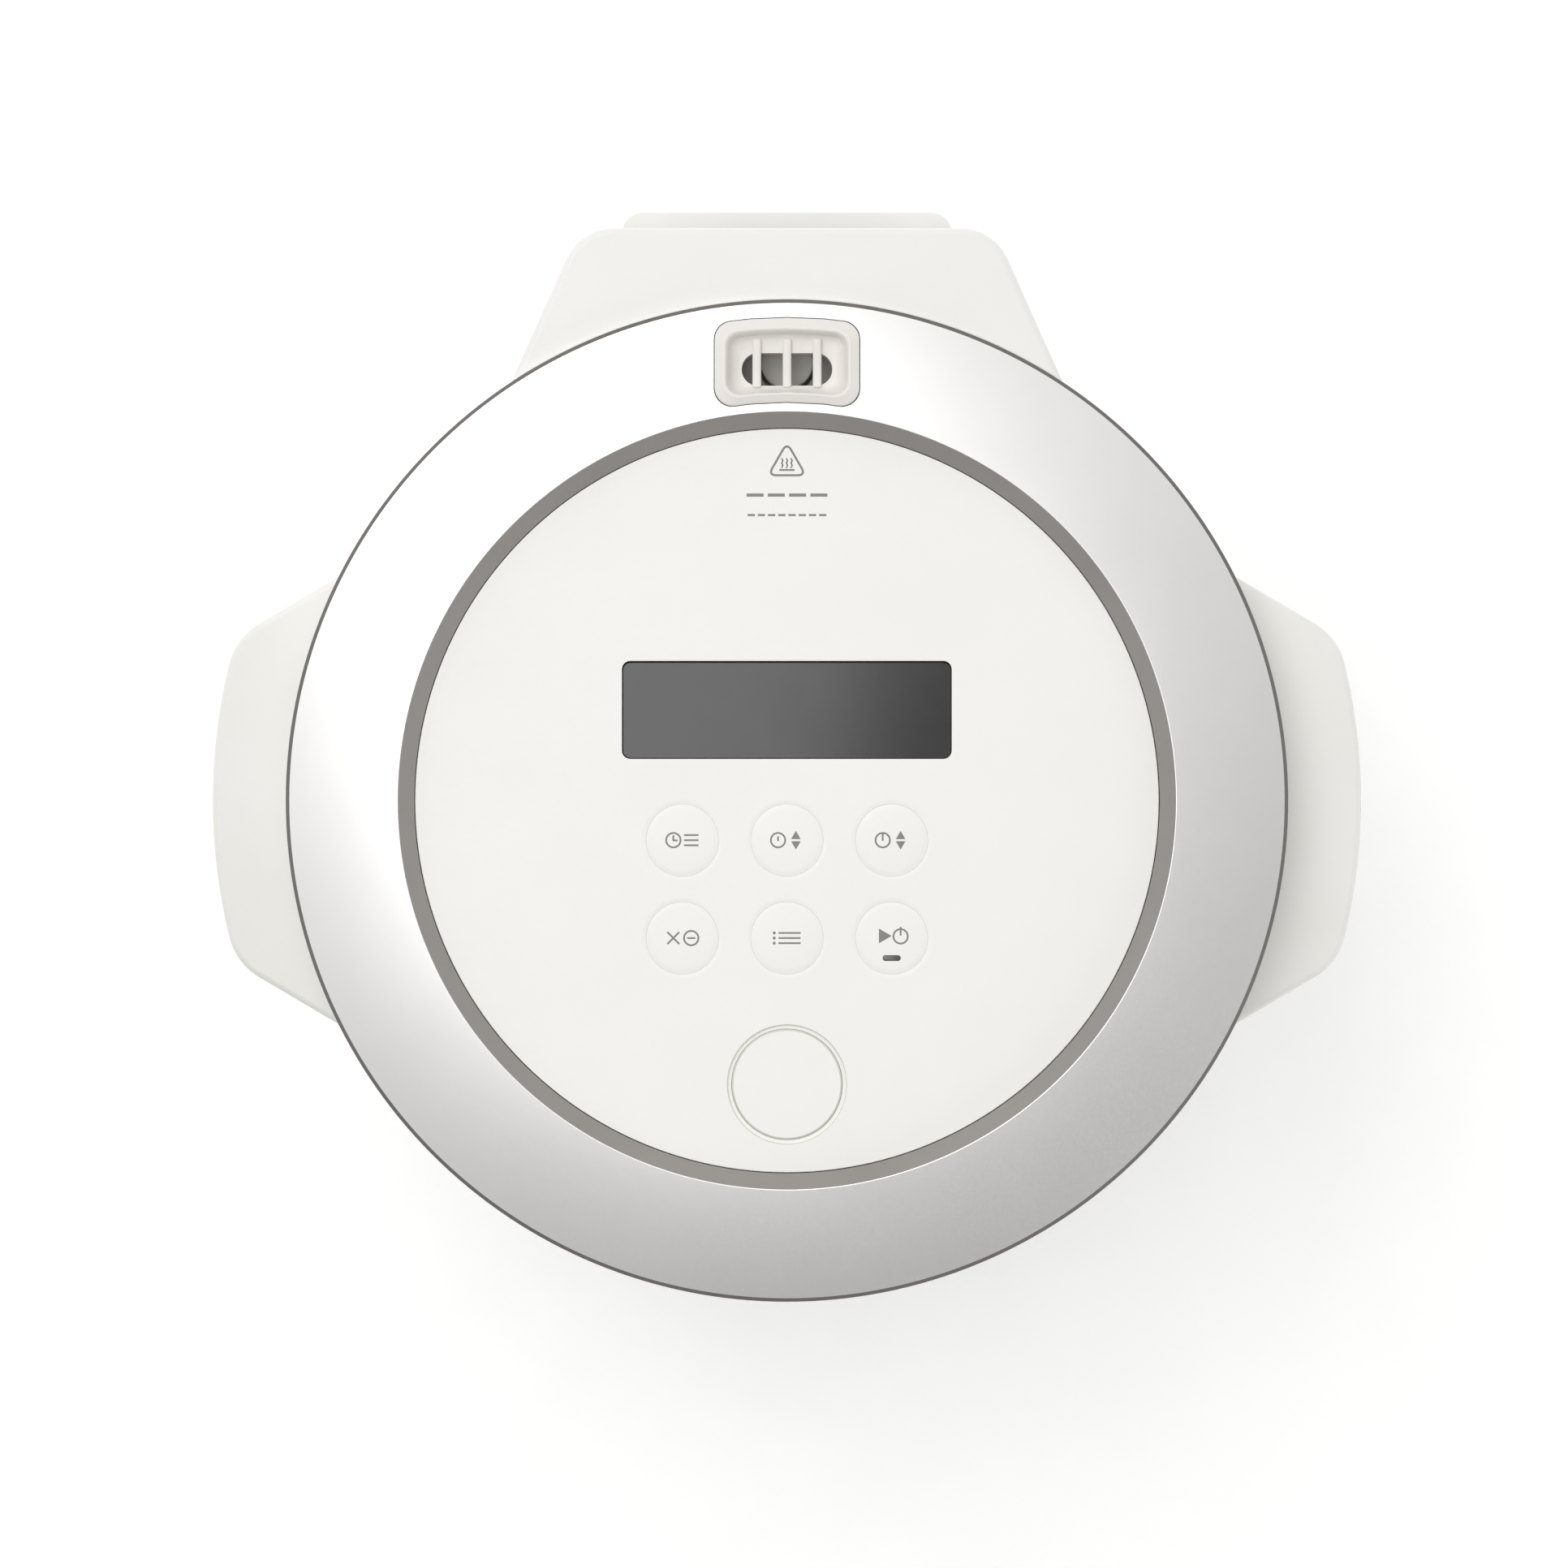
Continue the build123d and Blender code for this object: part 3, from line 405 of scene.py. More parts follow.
@dataclass(frozen=True)
class Finish:
    """A material: its colours, gloss and fine relief.

    Sizes are in millimetres on the real surface.
    """

    name: str
    colour: str
    shade: str
    roughness: float
    rough_spread: float = 0.05
    metallic: float = 0.0
    ior: float = 1.5
    grain: Grain = Grain.ORANGE_PEEL
    grain_mm: float = 0.8
    relief: float = 0.05
    mottle_mm: float = 25.0
    coat: float = 0.0
    coat_rough: float = 0.1
    clear: float = 0.0
    flake: str = ""
    flake_mm: float = 0.6
    flake_share: float = 0.5

    def pattern(self, tree: bpy.types.NodeTree, size_mm: float, stretch: Sequence[float] = (1, 1, 1),
                detail: float = 2.0) -> bpy.types.NodeSocket:
        """Noise on Object coordinates whose features measure size_mm, stretched along some axes."""
        place_on = add_node(tree, "ShaderNodeTexCoord").outputs["Object"]
        scaled = add_node(tree, "ShaderNodeMapping", {"Scale": stretch}, {"Vector": place_on})
        return add_node(
            tree, "ShaderNodeTexNoise", {"Scale": 1 / (size_mm * MM), "Detail": detail, "Roughness": 0.55},
            {"Vector": scaled.outputs["Vector"]},
        ).outputs["Fac"]

    def relief_of(self, tree: bpy.types.NodeTree) -> bpy.types.NodeSocket:
        """Height of the fine relief."""
        if self.grain is Grain.BRUSHED:
            return self.pattern(tree, self.grain_mm, (0.02, 1, 1), 3)
        if self.grain is Grain.SPUN:
            place_on = add_node(tree, "ShaderNodeTexCoord").outputs["Object"]
            centred = add_node(tree, "ShaderNodeMapping", {"Location": (-AXIS_X, -AXIS_Y, 0)}, {"Vector": place_on})
            return add_node(
                tree, "ShaderNodeTexWave",
                {"wave_type": "RINGS", "rings_direction": "Z", "Scale": 1 / (self.grain_mm * MM) / 6.3,
                 "Distortion": 1.5, "Detail": 2.0, "Detail Scale": 3.0},
                {"Vector": centred.outputs["Vector"]},
            ).outputs["Fac"]
        if self.grain is Grain.SPARK:
            return self.pattern(tree, self.grain_mm, (1, 1, 1), 4)
        return self.pattern(tree, self.grain_mm)

    def build(self) -> bpy.types.Material:
        """Make the material, or return it where it is already made."""
        if self.name in bpy.data.materials:
            return bpy.data.materials[self.name]
        material = bpy.data.materials.new(self.name)
        material.use_nodes = True
        tree = material.node_tree
        shader = tree.nodes["Principled BSDF"]
        shader.inputs["Metallic"].default_value = self.metallic
        shader.inputs["IOR"].default_value = self.ior
        shader.inputs["Coat Weight"].default_value = self.coat
        shader.inputs["Coat Roughness"].default_value = self.coat_rough
        shader.inputs["Transmission Weight"].default_value = self.clear
        mottle = self.pattern(tree, self.mottle_mm)
        colour = ramp(tree, mottle, ((0.3, linear(self.colour)), (0.7, linear(self.shade))))
        if self.flake:
            spark = self.pattern(tree, self.flake_mm, detail=1.0)
            amount = add_node(
                tree, "ShaderNodeMapRange",
                {"From Min": 0.56, "From Max": 0.72, "To Min": 0.0, "To Max": self.flake_share}, {"Value": spark},
            )
            mixed = add_node(tree, "ShaderNodeMix", {"data_type": "RGBA"})
            tree.links.new(amount.outputs["Result"], mixed.inputs["Factor"])
            tree.links.new(colour, mixed.inputs[6])
            mixed.inputs[7].default_value = linear(self.flake)
            colour = mixed.outputs[2]
        tree.links.new(colour, shader.inputs["Base Color"])
        height = self.relief_of(tree)
        gloss = add_node(
            tree, "ShaderNodeMapRange",
            {"From Min": 0.3, "From Max": 0.7, "To Min": self.roughness - self.rough_spread,
             "To Max": self.roughness + self.rough_spread}, {"Value": height},
        )
        tree.links.new(gloss.outputs["Result"], shader.inputs["Roughness"])
        bump = add_node(
            tree, "ShaderNodeBump", {"Strength": 1.0, "Distance": self.relief * MM}, {"Height": height}
        )
        tree.links.new(bump.outputs["Normal"], shader.inputs["Normal"])
        return material


# Injection-moulded ABS, polished mould: a soft, slightly warm white with broad highlights
SHELL_ABS = Finish("shell_abs_gloss_white", "f3f2ef", "f1f0ec", 0.34, relief=0.004, coat=0.15, coat_rough=0.2)
# The same ABS from a finely etched mould: the eye sees no mirror, only a soft sheen
GRIP_ABS = Finish("grip_abs_satin_white", "f1f0ec", "eeede8", 0.46, grain=Grain.SPARK, grain_mm=0.5, relief=0.006)
# Painted ABS panel film: smooth, even, hardly any sheen
PANEL_FILM = Finish("panel_film_white", "f8f7f4", "f6f5f2", 0.42, grain_mm=1.2, relief=0.003)
# Sprayed silver over ABS: fine aluminium flakes under satin lacquer, which darken as the face turns from the light
SILVER_PAINT = Finish(
    "ring_silver_spray", "f0eeec", "edebe9", 0.4, 0.03, metallic=0.85, grain_mm=0.7, relief=0.003, coat=0.15,
    coat_rough=0.3, flake="f2f0ee", flake_mm=0.45, flake_share=0.22,
)
# Painted shade: the silver spray as a flat mid grey on the steep inner bevel, for the dark it reflects
BAND_SHADE_PAINT = Finish("ring_band_painted_shade", "989490", "938f8b", 0.6, metallic=0.0, grain_mm=0.7, relief=0.003)
# Painted shade on the outer chamfer: a thin dark line for the dark surroundings that the narrow edge reflects
EDGE_SHADE_PAINT = Finish("ring_edge_painted_shade", "6f6b68", "6a6663", 0.6, grain_mm=0.7, relief=0.003)
# Smoked acrylic lens: dark with a clean reflection
SMOKED_LENS = Finish("display_smoked_acrylic", "2c2a2b", "292728", 0.1, 0.008, grain_mm=9, relief=0.001, ior=1.49)
# Pad-printed ink: flat grey, matt
PRINT_INK = Finish("print_ink_grey", "8b8a88", "878684", 0.6, grain_mm=0.4, relief=0.004)
# Filled polypropylene: milky, with a waxy sheen
TRAY_PP = Finish("tray_milky_polypropylene", "f5f4f0", "f1f0ea", 0.38, grain_mm=1.0, relief=0.004, ior=1.49)
# The same, more matt, in the tray lip's shallow step; a little darker and warmer as painted shade under the tail's
# edge
TRAY_STEP_SHADE = Finish("tray_step_painted_shade", "dfddd4", "dbd9cf", 0.45, grain_mm=1.0, relief=0.004, ior=1.49)
# Sloping rims of the open button's channel: a warm beige line, painted shade for the light bounced between its walls
RIM_SHADE_FILM = Finish("channel_rim_painted_shade", "dedccf", "dad8ca", 0.5, grain_mm=1.0, relief=0.003)
# Heat-proof ABS of the steam cap: greyer than the lid, with soft shading in the basin
CAP_ABS = Finish("steam_cap_warm_white", "eeebe6", "eae6e0", 0.36, relief=0.004, coat=0.1)
# Recycled grey ABS of the base
BASE_ABS = Finish("base_abs_grey", "bdbbb8", "b5b3b0", 0.5, grain=Grain.SPARK, grain_mm=0.6, relief=0.01)
# Moulded nitrile rubber of the feet
FOOT_RUBBER = Finish("foot_rubber_grey", "4a4a4a", "424242", 0.75, grain=Grain.SPARK, grain_mm=0.4, relief=0.02)
# Cured silicone: cloudy and soft-edged
SILICONE = Finish("seal_silicone_cloudy", "d8d7d2", "cfcec9", 0.48, grain_mm=0.8, relief=0.005, clear=0.25,
                  ior=1.43)
# Pressed stainless sheet, faintly brushed
STEEL = Finish("stainless_brushed", "b9b8b6", "b4b3b1", 0.32, 0.08, metallic=1.0, grain=Grain.BRUSHED,
               grain_mm=0.35, relief=0.006, ior=1.5)
# Spun aluminium: fine rings about the pot's axis
ALUMINIUM = Finish("aluminium_spun", "c9c9c8", "bdbdbc", 0.36, 0.07, metallic=1.0, grain=Grain.SPUN, grain_mm=0.7,
                   relief=0.006)
# Non-stick coat on the pot: charcoal with pale specks
POT_COAT = Finish("pot_nonstick_charcoal", "3b3b3d", "333335", 0.4, grain=Grain.SPARK, grain_mm=0.9, relief=0.01,
                  flake="8d8d90", flake_mm=0.7, coat=0.2)
# Die-cast aluminium of the heater: grey and slightly pitted
CAST_ALLOY = Finish("heater_die_cast", "9c9c9a", "8e8e8c", 0.5, 0.1, metallic=0.9, grain=Grain.SPARK, grain_mm=1.4,
                    relief=0.03)
# Solder mask on glass-epoxy board
BOARD_MASK = Finish("board_solder_mask", "1d5a33", "174c2a", 0.35, grain_mm=0.6, relief=0.01)
# Black phenolic and nylon of the small parts
BLACK_NYLON = Finish("nylon_black", "1b1b1c", "151516", 0.45, grain=Grain.SPARK, grain_mm=0.5, relief=0.01)
# Yellow polyester tape on windings
COIL_TAPE = Finish("winding_tape_yellow", "d3b23a", "c4a232", 0.35, grain=Grain.BRUSHED, grain_mm=2.0, relief=0.05)
# Glass-fibre felt behind foil
BAND_FOIL = Finish("band_foil", "c3c2bf", "aeadaa", 0.4, 0.1, metallic=0.8, grain=Grain.SPARK, grain_mm=3.0,
                   relief=0.2)
# Woven glass sleeve on the leads
SLEEVE = Finish("glass_sleeve_white", "dedbd1", "cfccc2", 0.7, grain=Grain.BRUSHED, grain_mm=0.5, relief=0.05)
# Clear lens over the unlit lamp: reads as mid grey
LAMP_LENS = Finish("lamp_lens_grey", "595857", "545352", 0.2, grain_mm=1.0, relief=0.002)

SLOT_FINISH: dict[str, Finish] = {
    "body_white": SHELL_ABS, "grip_white": GRIP_ABS, "ring_silver": SILVER_PAINT, "panel_white": PANEL_FILM,
    "window_dark": SMOKED_LENS, "tray_clear": TRAY_PP, "base_grey": BASE_ABS, "rubber_grey": FOOT_RUBBER,
    "silicone": SILICONE, "steel": STEEL, "aluminium": ALUMINIUM, "pot_coat": POT_COAT,
    "heater_cast": CAST_ALLOY, "board_green": BOARD_MASK, "part_black": BLACK_NYLON, "part_yellow": COIL_TAPE,
    "band_foil": BAND_FOIL, "lead_white": SLEEVE, "lens_grey": LAMP_LENS,
}


def finish_piece(piece: bpy.types.Object, finish: Finish, body: str, slot: str, *nodes: str) -> None:
    """Dress a piece, let it ride on a body and stand for CAD nodes.

    Args:
        piece: the new piece.
        finish: its material.
        body: the CAD body that it moves with.
        slot: the record's slot; not used.
        nodes: CAD nodes that it replaces.
    """
    piece.data.materials.clear()
    piece.data.materials.append(finish.build())
    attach(piece, body)
    if nodes:
        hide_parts(*nodes)
    log.info("%s rides on %s", piece.name, body)


def reach(face: bpy.types.MeshPolygon, middle: Vector) -> float:
    """Distance of a face from an upright axis."""
    return (face.center.xy - middle.xy).length


def paint(piece: bpy.types.Object, finish: Finish, chosen: Callable[[bpy.types.MeshPolygon], bool]) -> None:
    """Give the chosen faces of a dressed piece a finish of their own."""
    piece.data.materials.append(finish.build())
    for face in piece.data.polygons:
        if chosen(face):
            face.material_index = len(piece.data.materials) - 1


# Lid ------------------------------------------------------------------------------------------
# A sloping face points up by more than the first of these shares and less than the second
SLOPE = (0.2, 0.93)
KEY_R = 8.5 * MM
MOAT_HALF = 1.15 * MM
MOAT_DEPTH = 0.11 * MM


def moat_fall(radius: float) -> float:
    """Depth of the soft moat between a key and the panel, at a distance from the key's middle."""
    across = min(abs(radius - KEY_R) / MOAT_HALF, 1)
    return MOAT_DEPTH * (1 + math.cos(math.pi * across)) / 2


@dataclass
class LidRing:
    """Silver ring round the panel, with its bevelled inner edge and the hole for the steam cap."""

    crest_r: float = 91.3 * MM
    inner_r: float = 87.6 * MM
    fall: float = 5.8 * MM
    arc_bulge: float = 0.45 * MM
    arc_steps: int = 14
    chamfer: Point = (0.85 * MM, 0.8 * MM)
    wall: float = 2.2 * MM
    lip_depth: float = 2.4 * MM
    cap_gap: float = 0.22 * MM

    def section(self) -> list[Point]:
        """Closed section of the ring: bevel, dome, chamfer, skirt and the hollow underside."""
        crest = RING_HIGH.z
        edge = crest - self.fall
        chamfer_r = RING_R - self.chamfer[0]
        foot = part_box("lid_base")[1].z
        lip = PANEL_TOP - self.lip_depth
        dome: list[Corner] = []
        for index in range(1, self.arc_steps):
            part = index / self.arc_steps
            radius = self.crest_r + (chamfer_r - self.crest_r) * part
            dome.append((radius, crest - self.fall * part + 4 * self.arc_bulge * part * (1 - part), 0))
        outside: list[Corner] = [
            (self.inner_r, lip, 0), (self.inner_r, PANEL_TOP + 0.1 * MM, 0.1 * MM),
            (self.crest_r, crest, 0.35 * MM), *dome, (chamfer_r, edge, 0.2 * MM),
            (RING_R, edge - self.chamfer[1], 0.3 * MM), (RING_R, foot, 0.3 * MM),
        ]
        underside: list[Corner] = [
            (RING_R - self.wall, foot, 0), (RING_R - self.wall, edge - 2 * MM, 0),
            (104.8 * MM, crest - 4.2 * MM, 0), (92.4 * MM, crest - 2.4 * MM, 0), (90.4 * MM, lip, 0),
            (self.inner_r, lip, 0),
        ]
        return rounded([*outside, *underside], 4)

    def build(self) -> None:
        """Spin the ring's section and cut the steam cap's hole."""
        ring = lathe("ring_trim", (AXIS_X, AXIS_Y), self.section(), 256)
        hole = prism("cap_hole", SteamCap().outline(-self.cap_gap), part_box("steam_cap")[0].z, RING_HIGH.z + MM)
        cut(ring, hole)
        smooth(ring, 30)
        modify(ring, "WEIGHTED_NORMAL", keep_sharp=True)
        finish_piece(ring, SILVER_PAINT, "lid", "ring_silver", "lid_ring")
        axis = Vector((AXIS_X, AXIS_Y))
        bevel_r = self.crest_r - 0.1 * MM
        edge_r = RING_R - self.chamfer[0] - 0.1 * MM
        # The steep inner bevel takes the painted shade
        paint(ring, BAND_SHADE_PAINT, lambda face: reach(face, axis) < bevel_r and face.normal.z > SLOPE[0])
        # The outer chamfer takes a painted dark line of shade
        paint(ring, EDGE_SHADE_PAINT, lambda face: reach(face, axis) > edge_r and SLOPE[0] < face.normal.z < 0.96)


@dataclass
class ControlPanel:
    """White panel with soft moats round its keys, the display's recess and the open button's groove."""

    radius: float = 87.4 * MM
    edge: float = 0.25 * MM
    key_gap: float = 0.03 * MM
    moat_steps: int = 8
    groove_r: float = 13.9 * MM
    groove_depth: float = 0.62 * MM
    rim: float = 0.22 * MM
    button_hole_r: float = 13.08 * MM
    window_corner: float = 1.95 * MM
    window_gap: float = 0.08 * MM
    window_left: float = 0.16 * MM
    window_rear: float = 0.3 * MM

    def moat_cutter(self, key: str) -> bpy.types.Object:
        """Solid that leaves a key's hole and the shallow moat round it."""
        middle = centre_of(key)
        hole = KEY_R + self.key_gap
        rim = KEY_R + MOAT_HALF
        slope = []
        for index in range(self.moat_steps + 1):
            radius = rim + (hole - rim) * index / self.moat_steps
            slope.append((radius, PANEL_TOP + 0.005 * MM - moat_fall(radius)))
        outline = [(0, ABOVE_PANEL), (rim, ABOVE_PANEL), *slope, (hole, BELOW_PANEL), (0, BELOW_PANEL)]
        return lathe("moat", (middle.x, middle.y), outline, 72)

    def window_cutter(self) -> bpy.types.Object:
        """Solid that leaves the display's opening, wider at the rear, where its wall is in shade."""
        low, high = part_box("display_window")
        return soft_box(
            "window_hole", (low.x - self.window_left, low.y - self.window_gap, BELOW_PANEL),
            (high.x + self.window_gap, high.y + self.window_rear, ABOVE_PANEL), self.window_corner, 0,
        )

    def groove_cutter(self) -> bpy.types.Object:
        """Solid that leaves the open button's hole and the channel round it."""
        button = centre_of("open_button")
        rim_r = self.groove_r + self.rim
        floor = PANEL_TOP - self.groove_depth
        outline = [
            (0, ABOVE_PANEL), (rim_r, ABOVE_PANEL), (rim_r, PANEL_TOP - 0.02 * MM),
            (self.groove_r, PANEL_TOP - self.rim), (self.groove_r, floor), (self.button_hole_r, floor),
            (self.button_hole_r, BELOW_PANEL), (0, BELOW_PANEL),
        ]
        return lathe("groove_hole", (button.x, button.y), outline, 96)

    def build(self) -> bpy.types.Object:
        """Cut the panel out of a disc and return it."""
        corners: list[Corner] = [
            (0, PANEL_LOW, 0), (self.radius, PANEL_LOW, 0), (self.radius, PANEL_TOP, self.edge), (0, PANEL_TOP, 0)
        ]
        panel = lathe("panel_face", (AXIS_X, AXIS_Y), rounded(corners, 3), 192)
        cut(panel, self.window_cutter(), self.groove_cutter(), *[self.moat_cutter(key) for key in KEYS])
        modify(panel, "BEVEL", width=0.12 * MM, segments=2, limit_method="ANGLE", angle_limit=math.radians(60))
        smooth(panel, 30)
        modify(panel, "WEIGHTED_NORMAL", keep_sharp=True)
        finish_piece(panel, PANEL_FILM, "lid", "panel_white", "control_panel")
        button = centre_of("open_button")
        rim_r = self.groove_r + 0.35 * MM
        # The sloping rim round the groove takes painted shade
        paint(panel, RIM_SHADE_FILM, lambda face: reach(face, button) < rim_r and SLOPE[0] < face.normal.z < SLOPE[1])
        return panel


@dataclass
class DisplayWindow:
    """Smoked lens that sits a little below the panel."""

    corner: float = 1.85 * MM
    edge: float = 0.2 * MM

    def build(self) -> None:
        """Make the lens."""
        low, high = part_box("display_window")
        lens = soft_box("display_lens", low, high, self.corner, self.edge, 4)
        smooth(lens, 40)
        modify(lens, "WEIGHTED_NORMAL", keep_sharp=True)
        finish_piece(lens, SMOKED_LENS, "lid", "window_dark", "display_window")


# Printed marks --------------------------------------------------------------------------------
@dataclass
class Print:
    """Flat ink shapes laid on a surface.

    Shapes are drawn in millimetres about the mark's own middle.
    """

    name: str
    middle: Point
    height: float
    parts: list[bpy.types.Object] = field(default_factory=list)

    def bar(self, x: float, y: float, width: float, depth: float, turn: float = 0.0) -> None:
        """Add a bar, turned by some degrees."""
        bpy.ops.object.select_all(action="DESELECT")
        bpy.ops.mesh.primitive_plane_add(size=1, location=(0, 0, 0))
        part = bpy.context.active_object
        part.scale = (width * MM, depth * MM, 1)
        part.rotation_euler = (0, 0, math.radians(turn))
        part.location = (self.middle[0] + x * MM, self.middle[1] + y * MM, self.height)
        self.keep(part)

    def ring(self, x: float, y: float, radius: float, width: float, sides: int = 40, turn: float = 0.0,
             corner: float = 0.0) -> None:
        """Add a ring, or a three-sided or other outline, its corners rounded from so far along the sides."""
        bpy.ops.object.select_all(action="DESELECT")
        bpy.ops.mesh.primitive_circle_add(vertices=sides, radius=radius * MM, fill_type="NGON")
        part = bpy.context.active_object
        bpy.ops.object.mode_set(mode="EDIT")
        bpy.ops.mesh.select_all(action="SELECT")
        if corner > 0:
            bpy.ops.mesh.bevel(offset=corner * MM, segments=6, affect="VERTICES")
        bpy.ops.mesh.inset(thickness=width * MM)
        bpy.ops.mesh.delete(type="FACE")
        bpy.ops.object.mode_set(mode="OBJECT")
        part.rotation_euler = (0, 0, math.radians(turn))
        part.location = (self.middle[0] + x * MM, self.middle[1] + y * MM, self.height)
        self.keep(part)

    def dot(self, x: float, y: float, radius: float, sides: int = 24, turn: float = 0.0) -> None:
        """Add a filled dot, or a triangle with three sides."""
        bpy.ops.object.select_all(action="DESELECT")
        bpy.ops.mesh.primitive_circle_add(vertices=sides, radius=radius * MM, fill_type="NGON")
        part = bpy.context.active_object
        part.rotation_euler = (0, 0, math.radians(turn))
        part.location = (self.middle[0] + x * MM, self.middle[1] + y * MM, self.height)
        self.keep(part)

    def keep(self, part: bpy.types.Object) -> None:
        """Settle a shape and remember it."""
        place(part)
        self.parts.append(part)

    def lay(self, surface: bpy.types.Object, body: str, lift: float = 0.02 * MM) -> None:
        """Join the shapes, lay them on a surface and give them the ink's thickness."""
        mark = join(self.name, self.parts)
        pick(mark)
        bpy.ops.object.mode_set(mode="EDIT")
        bpy.ops.mesh.select_all(action="SELECT")
        bpy.ops.mesh.quads_convert_to_tris()
        bpy.ops.mesh.subdivide(number_cuts=1)
        bpy.ops.object.mode_set(mode="OBJECT")
        modify(mark, "SHRINKWRAP", target=surface, wrap_method="PROJECT", use_project_z=True,
               use_negative_direction=True, use_positive_direction=True, offset=lift)
        modify(mark, "SOLIDIFY", thickness=0.015 * MM, offset=-1)
        finish_piece(mark, PRINT_INK, body, "lens_grey")


class Sign(Enum):
    """What each key does, drawn as a plain sign."""

    CLOCK = "key_clock"
    HOUR = "key_hour"
    MINUTE = "key_minute"
    CANCEL = "key_cancel"
    MENU = "key_menu"
    START = "key_start"

    def draw(self, mark: Print) -> None:
        """Draw the sign's shapes on a mark."""
        line = 0.42
        if self is Sign.CLOCK:
            mark.ring(-2.1, 0, 1.9, line)
            mark.bar(-2.1, 0.5, line, 1.3)
            mark.bar(-1.65, -0.05, 1.1, line)
            mark.bar(2.1, 1.2, 3.4, line)
            mark.bar(2.1, 0, 3.4, line)
            mark.bar(2.1, -1.2, 3.4, line)
        elif self is Sign.HOUR:
            mark.ring(-2.1, 0, 1.9, line)
            mark.bar(-2.1, 0.35, line, 1.1)
            mark.dot(2.1, 0.9, 1.3, 3, 0)
            mark.dot(2.1, -0.9, 1.3, 3, 180)
        elif self is Sign.MINUTE:
            mark.ring(-2.1, 0, 1.9, line)
            mark.bar(-2.1, 0.7, line, 1.7)
            mark.dot(2.1, 0.9, 1.3, 3, 0)
            mark.dot(2.1, -0.9, 1.3, 3, 180)
        elif self is Sign.CANCEL:
            mark.bar(-2.1, 0, 4.0, line, 45)
            mark.bar(-2.1, 0, 4.0, line, -45)
            mark.ring(2.1, 0, 1.9, line)
            mark.bar(2.1, 0, 1.9, line)
        elif self is Sign.MENU:
            for row in (-1.2, 0, 1.2):
                mark.dot(-3.0, row, 0.36)
                mark.bar(0.6, row, 5.2, line)
        else:
            mark.dot(-2.0, 0.1, 2.0, 3, -90)
            mark.ring(2.1, 0, 1.9, line)
            mark.bar(2.1, 1.2, line, 2.0)


KEYS = [sign.value for sign in Sign]


@dataclass
class Key:
    """One low round key with its printed sign."""

    sign: Sign
    dome: float = 0.26 * MM
    crown_radii: tuple[float, ...] = (8.5, 8.3, 8.1, 7.9, 7.7, 7.5, 7.3, 6.8, 6.2, 5.4, 4.4, 3.2, 1.8, 0.9, 0)
    plunger_r: float = 2.0 * MM
    plunger: float = 3.6 * MM
    flange: float = 1.2 * MM
    lens_gap: float = 0.03 * MM
    sign_lift: float = 0.4 * MM

    def outline(self) -> list[Point]:
        """Half section of the key: plunger, flange and low crown."""
        low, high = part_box(self.sign.value)
        flange_r = (high.x - low.x) / 2
        flange_low = low.z + self.plunger
        flange_top = flange_low + self.flange
        corners: list[Corner] = [
            (0, low.z, 0), (self.plunger_r, low.z, 0.2 * MM), (self.plunger_r, flange_low, 0),
            (flange_r, flange_low, 0), (flange_r, flange_top, 0), (KEY_R, flange_top, 0),
        ]
        crown = []
        for radius in [r * MM for r in self.crown_radii]:
            rise = self.dome * (1 - (radius / KEY_R) ** 2)
            crown.append((radius, PANEL_TOP + rise - moat_fall(radius)))
        return [*rounded(corners, 5), *crown]

    def add_lens(self, key: bpy.types.Object) -> None:
        """Cut the indicator's slot into the key and fill it with its lens."""
        low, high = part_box("indicator_lens")
        gap = Vector((self.lens_gap, self.lens_gap, 0))
        cut(key, soft_box("lens_hole", low - gap, high + gap + Vector((0, 0, MM)), 0.62 * MM, 0, 4))
        lens = soft_box("start_lens", low, high, 0.6 * MM, 0.12 * MM, 4)
        smooth(lens)
        finish_piece(lens, LAMP_LENS, self.sign.value, "lens_grey", "indicator_lens")

    def build(self) -> None:
        """Spin the key, fit its lens and print its sign."""
        node = self.sign.value
        middle = centre_of(node)
        has_lens = self.sign is Sign.START
        key = lathe(node + "_cap", (middle.x, middle.y), self.outline(), 72)
        if has_lens:
            self.add_lens(key)
        smooth(key, 40)
        modify(key, "WEIGHTED_NORMAL", keep_sharp=True)
        finish_piece(key, PANEL_FILM, node, "panel_white", node)
        lift = self.sign_lift if has_lens else 0.0
        mark = Print(node + "_sign", (middle.x, middle.y + lift), ABOVE_PANEL)
        self.sign.draw(mark)
        mark.lay(key, node)


